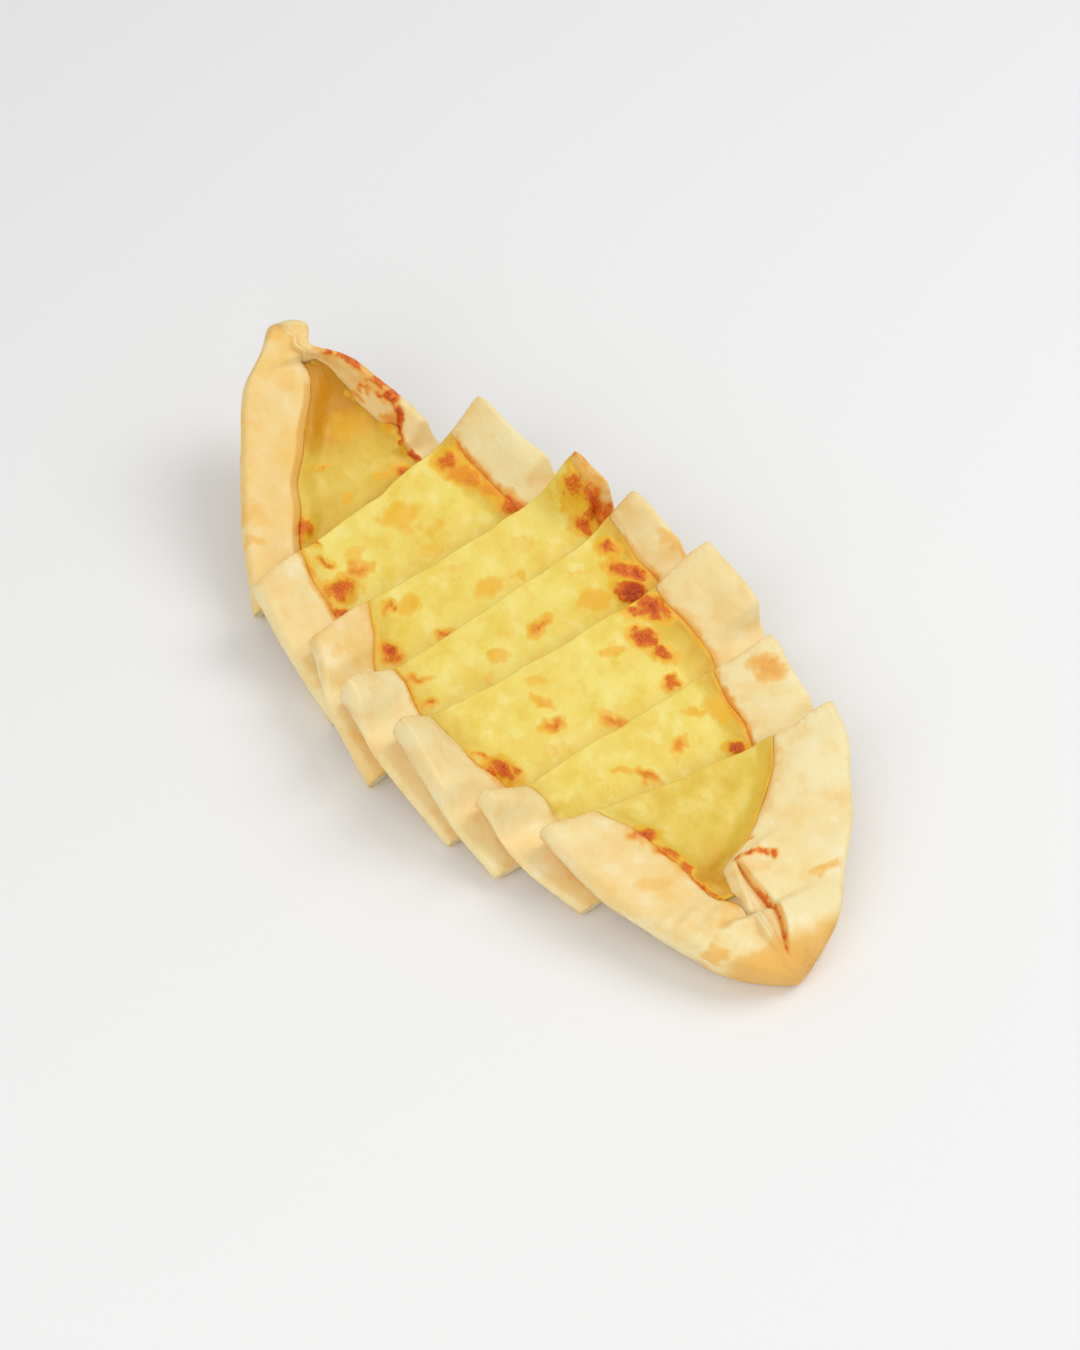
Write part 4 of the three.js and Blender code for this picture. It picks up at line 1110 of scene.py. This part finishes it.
def cheese_finish():
    cheese = Finish("baked_cheese")
    gold, char, deep, edge, cut = map(cheese.mark, ("gold", "char", "baked", "edge", "cut"))
    broad, patch = cheese.noise(22, 2), cheese.noise(7, 3, 0.55)
    fine, speck = cheese.noise(1.5, 3, 0.6), cheese.noise(0.6, 2, 0.6)

    cheese.colour = shade(240, 219, 108)
    cheese.coat(broad.between(0.36, 0.64), 236, 209, 90)
    cheese.coat(patch.between(0.5, 0.7) * 0.6, 232, 198, 66)
    cheese.coat((1 - patch).between(0.52, 0.68) * 0.6, 244, 228, 138)
    blotch = cheese.noise(5.2, 2, 0.5, 0.4).between(0.6, 0.72) * broad.between(0.42, 0.6)
    cheese.coat(blotch * 0.55, 240, 184, 58)
    # Painted shade: deeper ochre where the cheese lies in shade.
    shaded = uneven(deep, (patch, 0.5)).clamped()
    cheese.coat(shaded.between(0.1, 0.6) * 0.9, 222, 184, 60)
    cheese.coat(shaded.between(0.55, 1.05), 206, 142, 10)
    cheese.coat((edge * 0.3) * fine.between(0.3, 0.6), 240, 214, 110)
    golden = uneven(gold, (fine, 0.2), (patch, 0.25)) * gold.between(0.02, 0.25)
    cheese.coat(golden.between(0.05, 0.5) * 0.85, 238, 184, 36)
    cheese.coat(golden.between(0.5, 1.05), 236, 152, 24)
    burnt = burn(cheese, char, fine, speck, (232, 114, 26), (204, 78, 18), (126, 42, 14))
    cut_cheese = cheese.mix(patch, shade(244, 232, 160), shade(236, 216, 118))
    colour = cheese.mix(cut, cheese.colour, cut_cheese)
    rough = 0.46 - gold * 0.06 - char * 0.16 + (fine - 0.5) * 0.2
    cheese.give(Base_Color=colour, Roughness=rough.clamped(), Subsurface_Weight=0.18,
                Subsurface_Scale=0.004, Subsurface_Radius=(1.0, 0.7, 0.25), IOR=1.44)
    height = fine * 0.5 + cheese.noise(4, 3) * 1.2 + burnt * (fine + speck) * 2.6
    cheese.bump(height, 0.4, 0.55)
    return cheese.material


dough_material, cheese_material = dough_finish(), cheese_finish()
for number in range(len(SLICES)):
    make_crust(number, dough_material)
    make_cheese(number, cheese_material)

# ---- Floor, light and camera ------------------------------------------------------------

FLOOR_REACH = 6.0
VIEW_AZIMUTH, VIEW_ELEVATION, VIEW_DISTANCE = 54.6, 50.0, 0.9
VIEW_LENS = 71.76


def make_floor():
    mesh = bpy.data.meshes.new("table_top")
    corners = [(x, y, 0) for x, y in ((-FLOOR_REACH, -FLOOR_REACH), (FLOOR_REACH, -FLOOR_REACH),
                                      (FLOOR_REACH, FLOOR_REACH), (-FLOOR_REACH, FLOOR_REACH))]
    mesh.from_pydata(corners, [], [(0, 1, 2, 3)])
    floor = add_object("table_top", mesh)
    paint = Finish("pale_floor")
    colour = paint.mix(paint.noise(400, 1), shade(240, 241, 243), shade(243, 243, 244))
    paint.give(Base_Color=colour, Roughness=0.7)
    mesh.materials.append(paint.material)


def make_light(name, place, size, power, colour):
    light = bpy.data.lights.new(name, "AREA")
    light.shape = "DISK"
    light.size = size
    light.energy = power
    light.color = colour
    lamp = add_object(name, light)
    lamp.location = place
    lamp.rotation_euler = (-Vector(place)).to_track_quat("-Z", "Y").to_euler()


def make_camera():
    turn, rise = math.radians(VIEW_AZIMUTH), math.radians(VIEW_ELEVATION)
    level = math.cos(rise)
    back = Vector((math.sin(turn) * level, -math.cos(turn) * level, math.sin(rise)))
    camera = bpy.data.cameras.new("camera")
    camera.lens = VIEW_LENS
    camera.sensor_width = 36
    holder = add_object("camera", camera)
    holder.location = Vector(ROW_CENTRE) * MM + back * VIEW_DISTANCE
    holder.rotation_mode = "QUATERNION"
    holder.rotation_quaternion = (-back).to_track_quat("-Z", "Y")
    bpy.context.scene.camera = holder


make_floor()
make_light("key", (0.25, 0.75, 1.1), 0.9, 6.6, (1.0, 0.98, 0.95))
make_light("fill", (0.5, -0.9, 0.9), 1.2, 6.0, (1.0, 0.985, 0.93))
make_camera()
world = bpy.data.worlds.new("studio")
world.use_nodes = True
sky = world.node_tree.nodes["Background"].inputs
sky["Color"].default_value = (0.97, 0.98, 0.98, 1)
sky["Strength"].default_value = 0.56
bpy.context.scene.world = world
bpy.context.scene.view_settings.view_transform = "Standard"
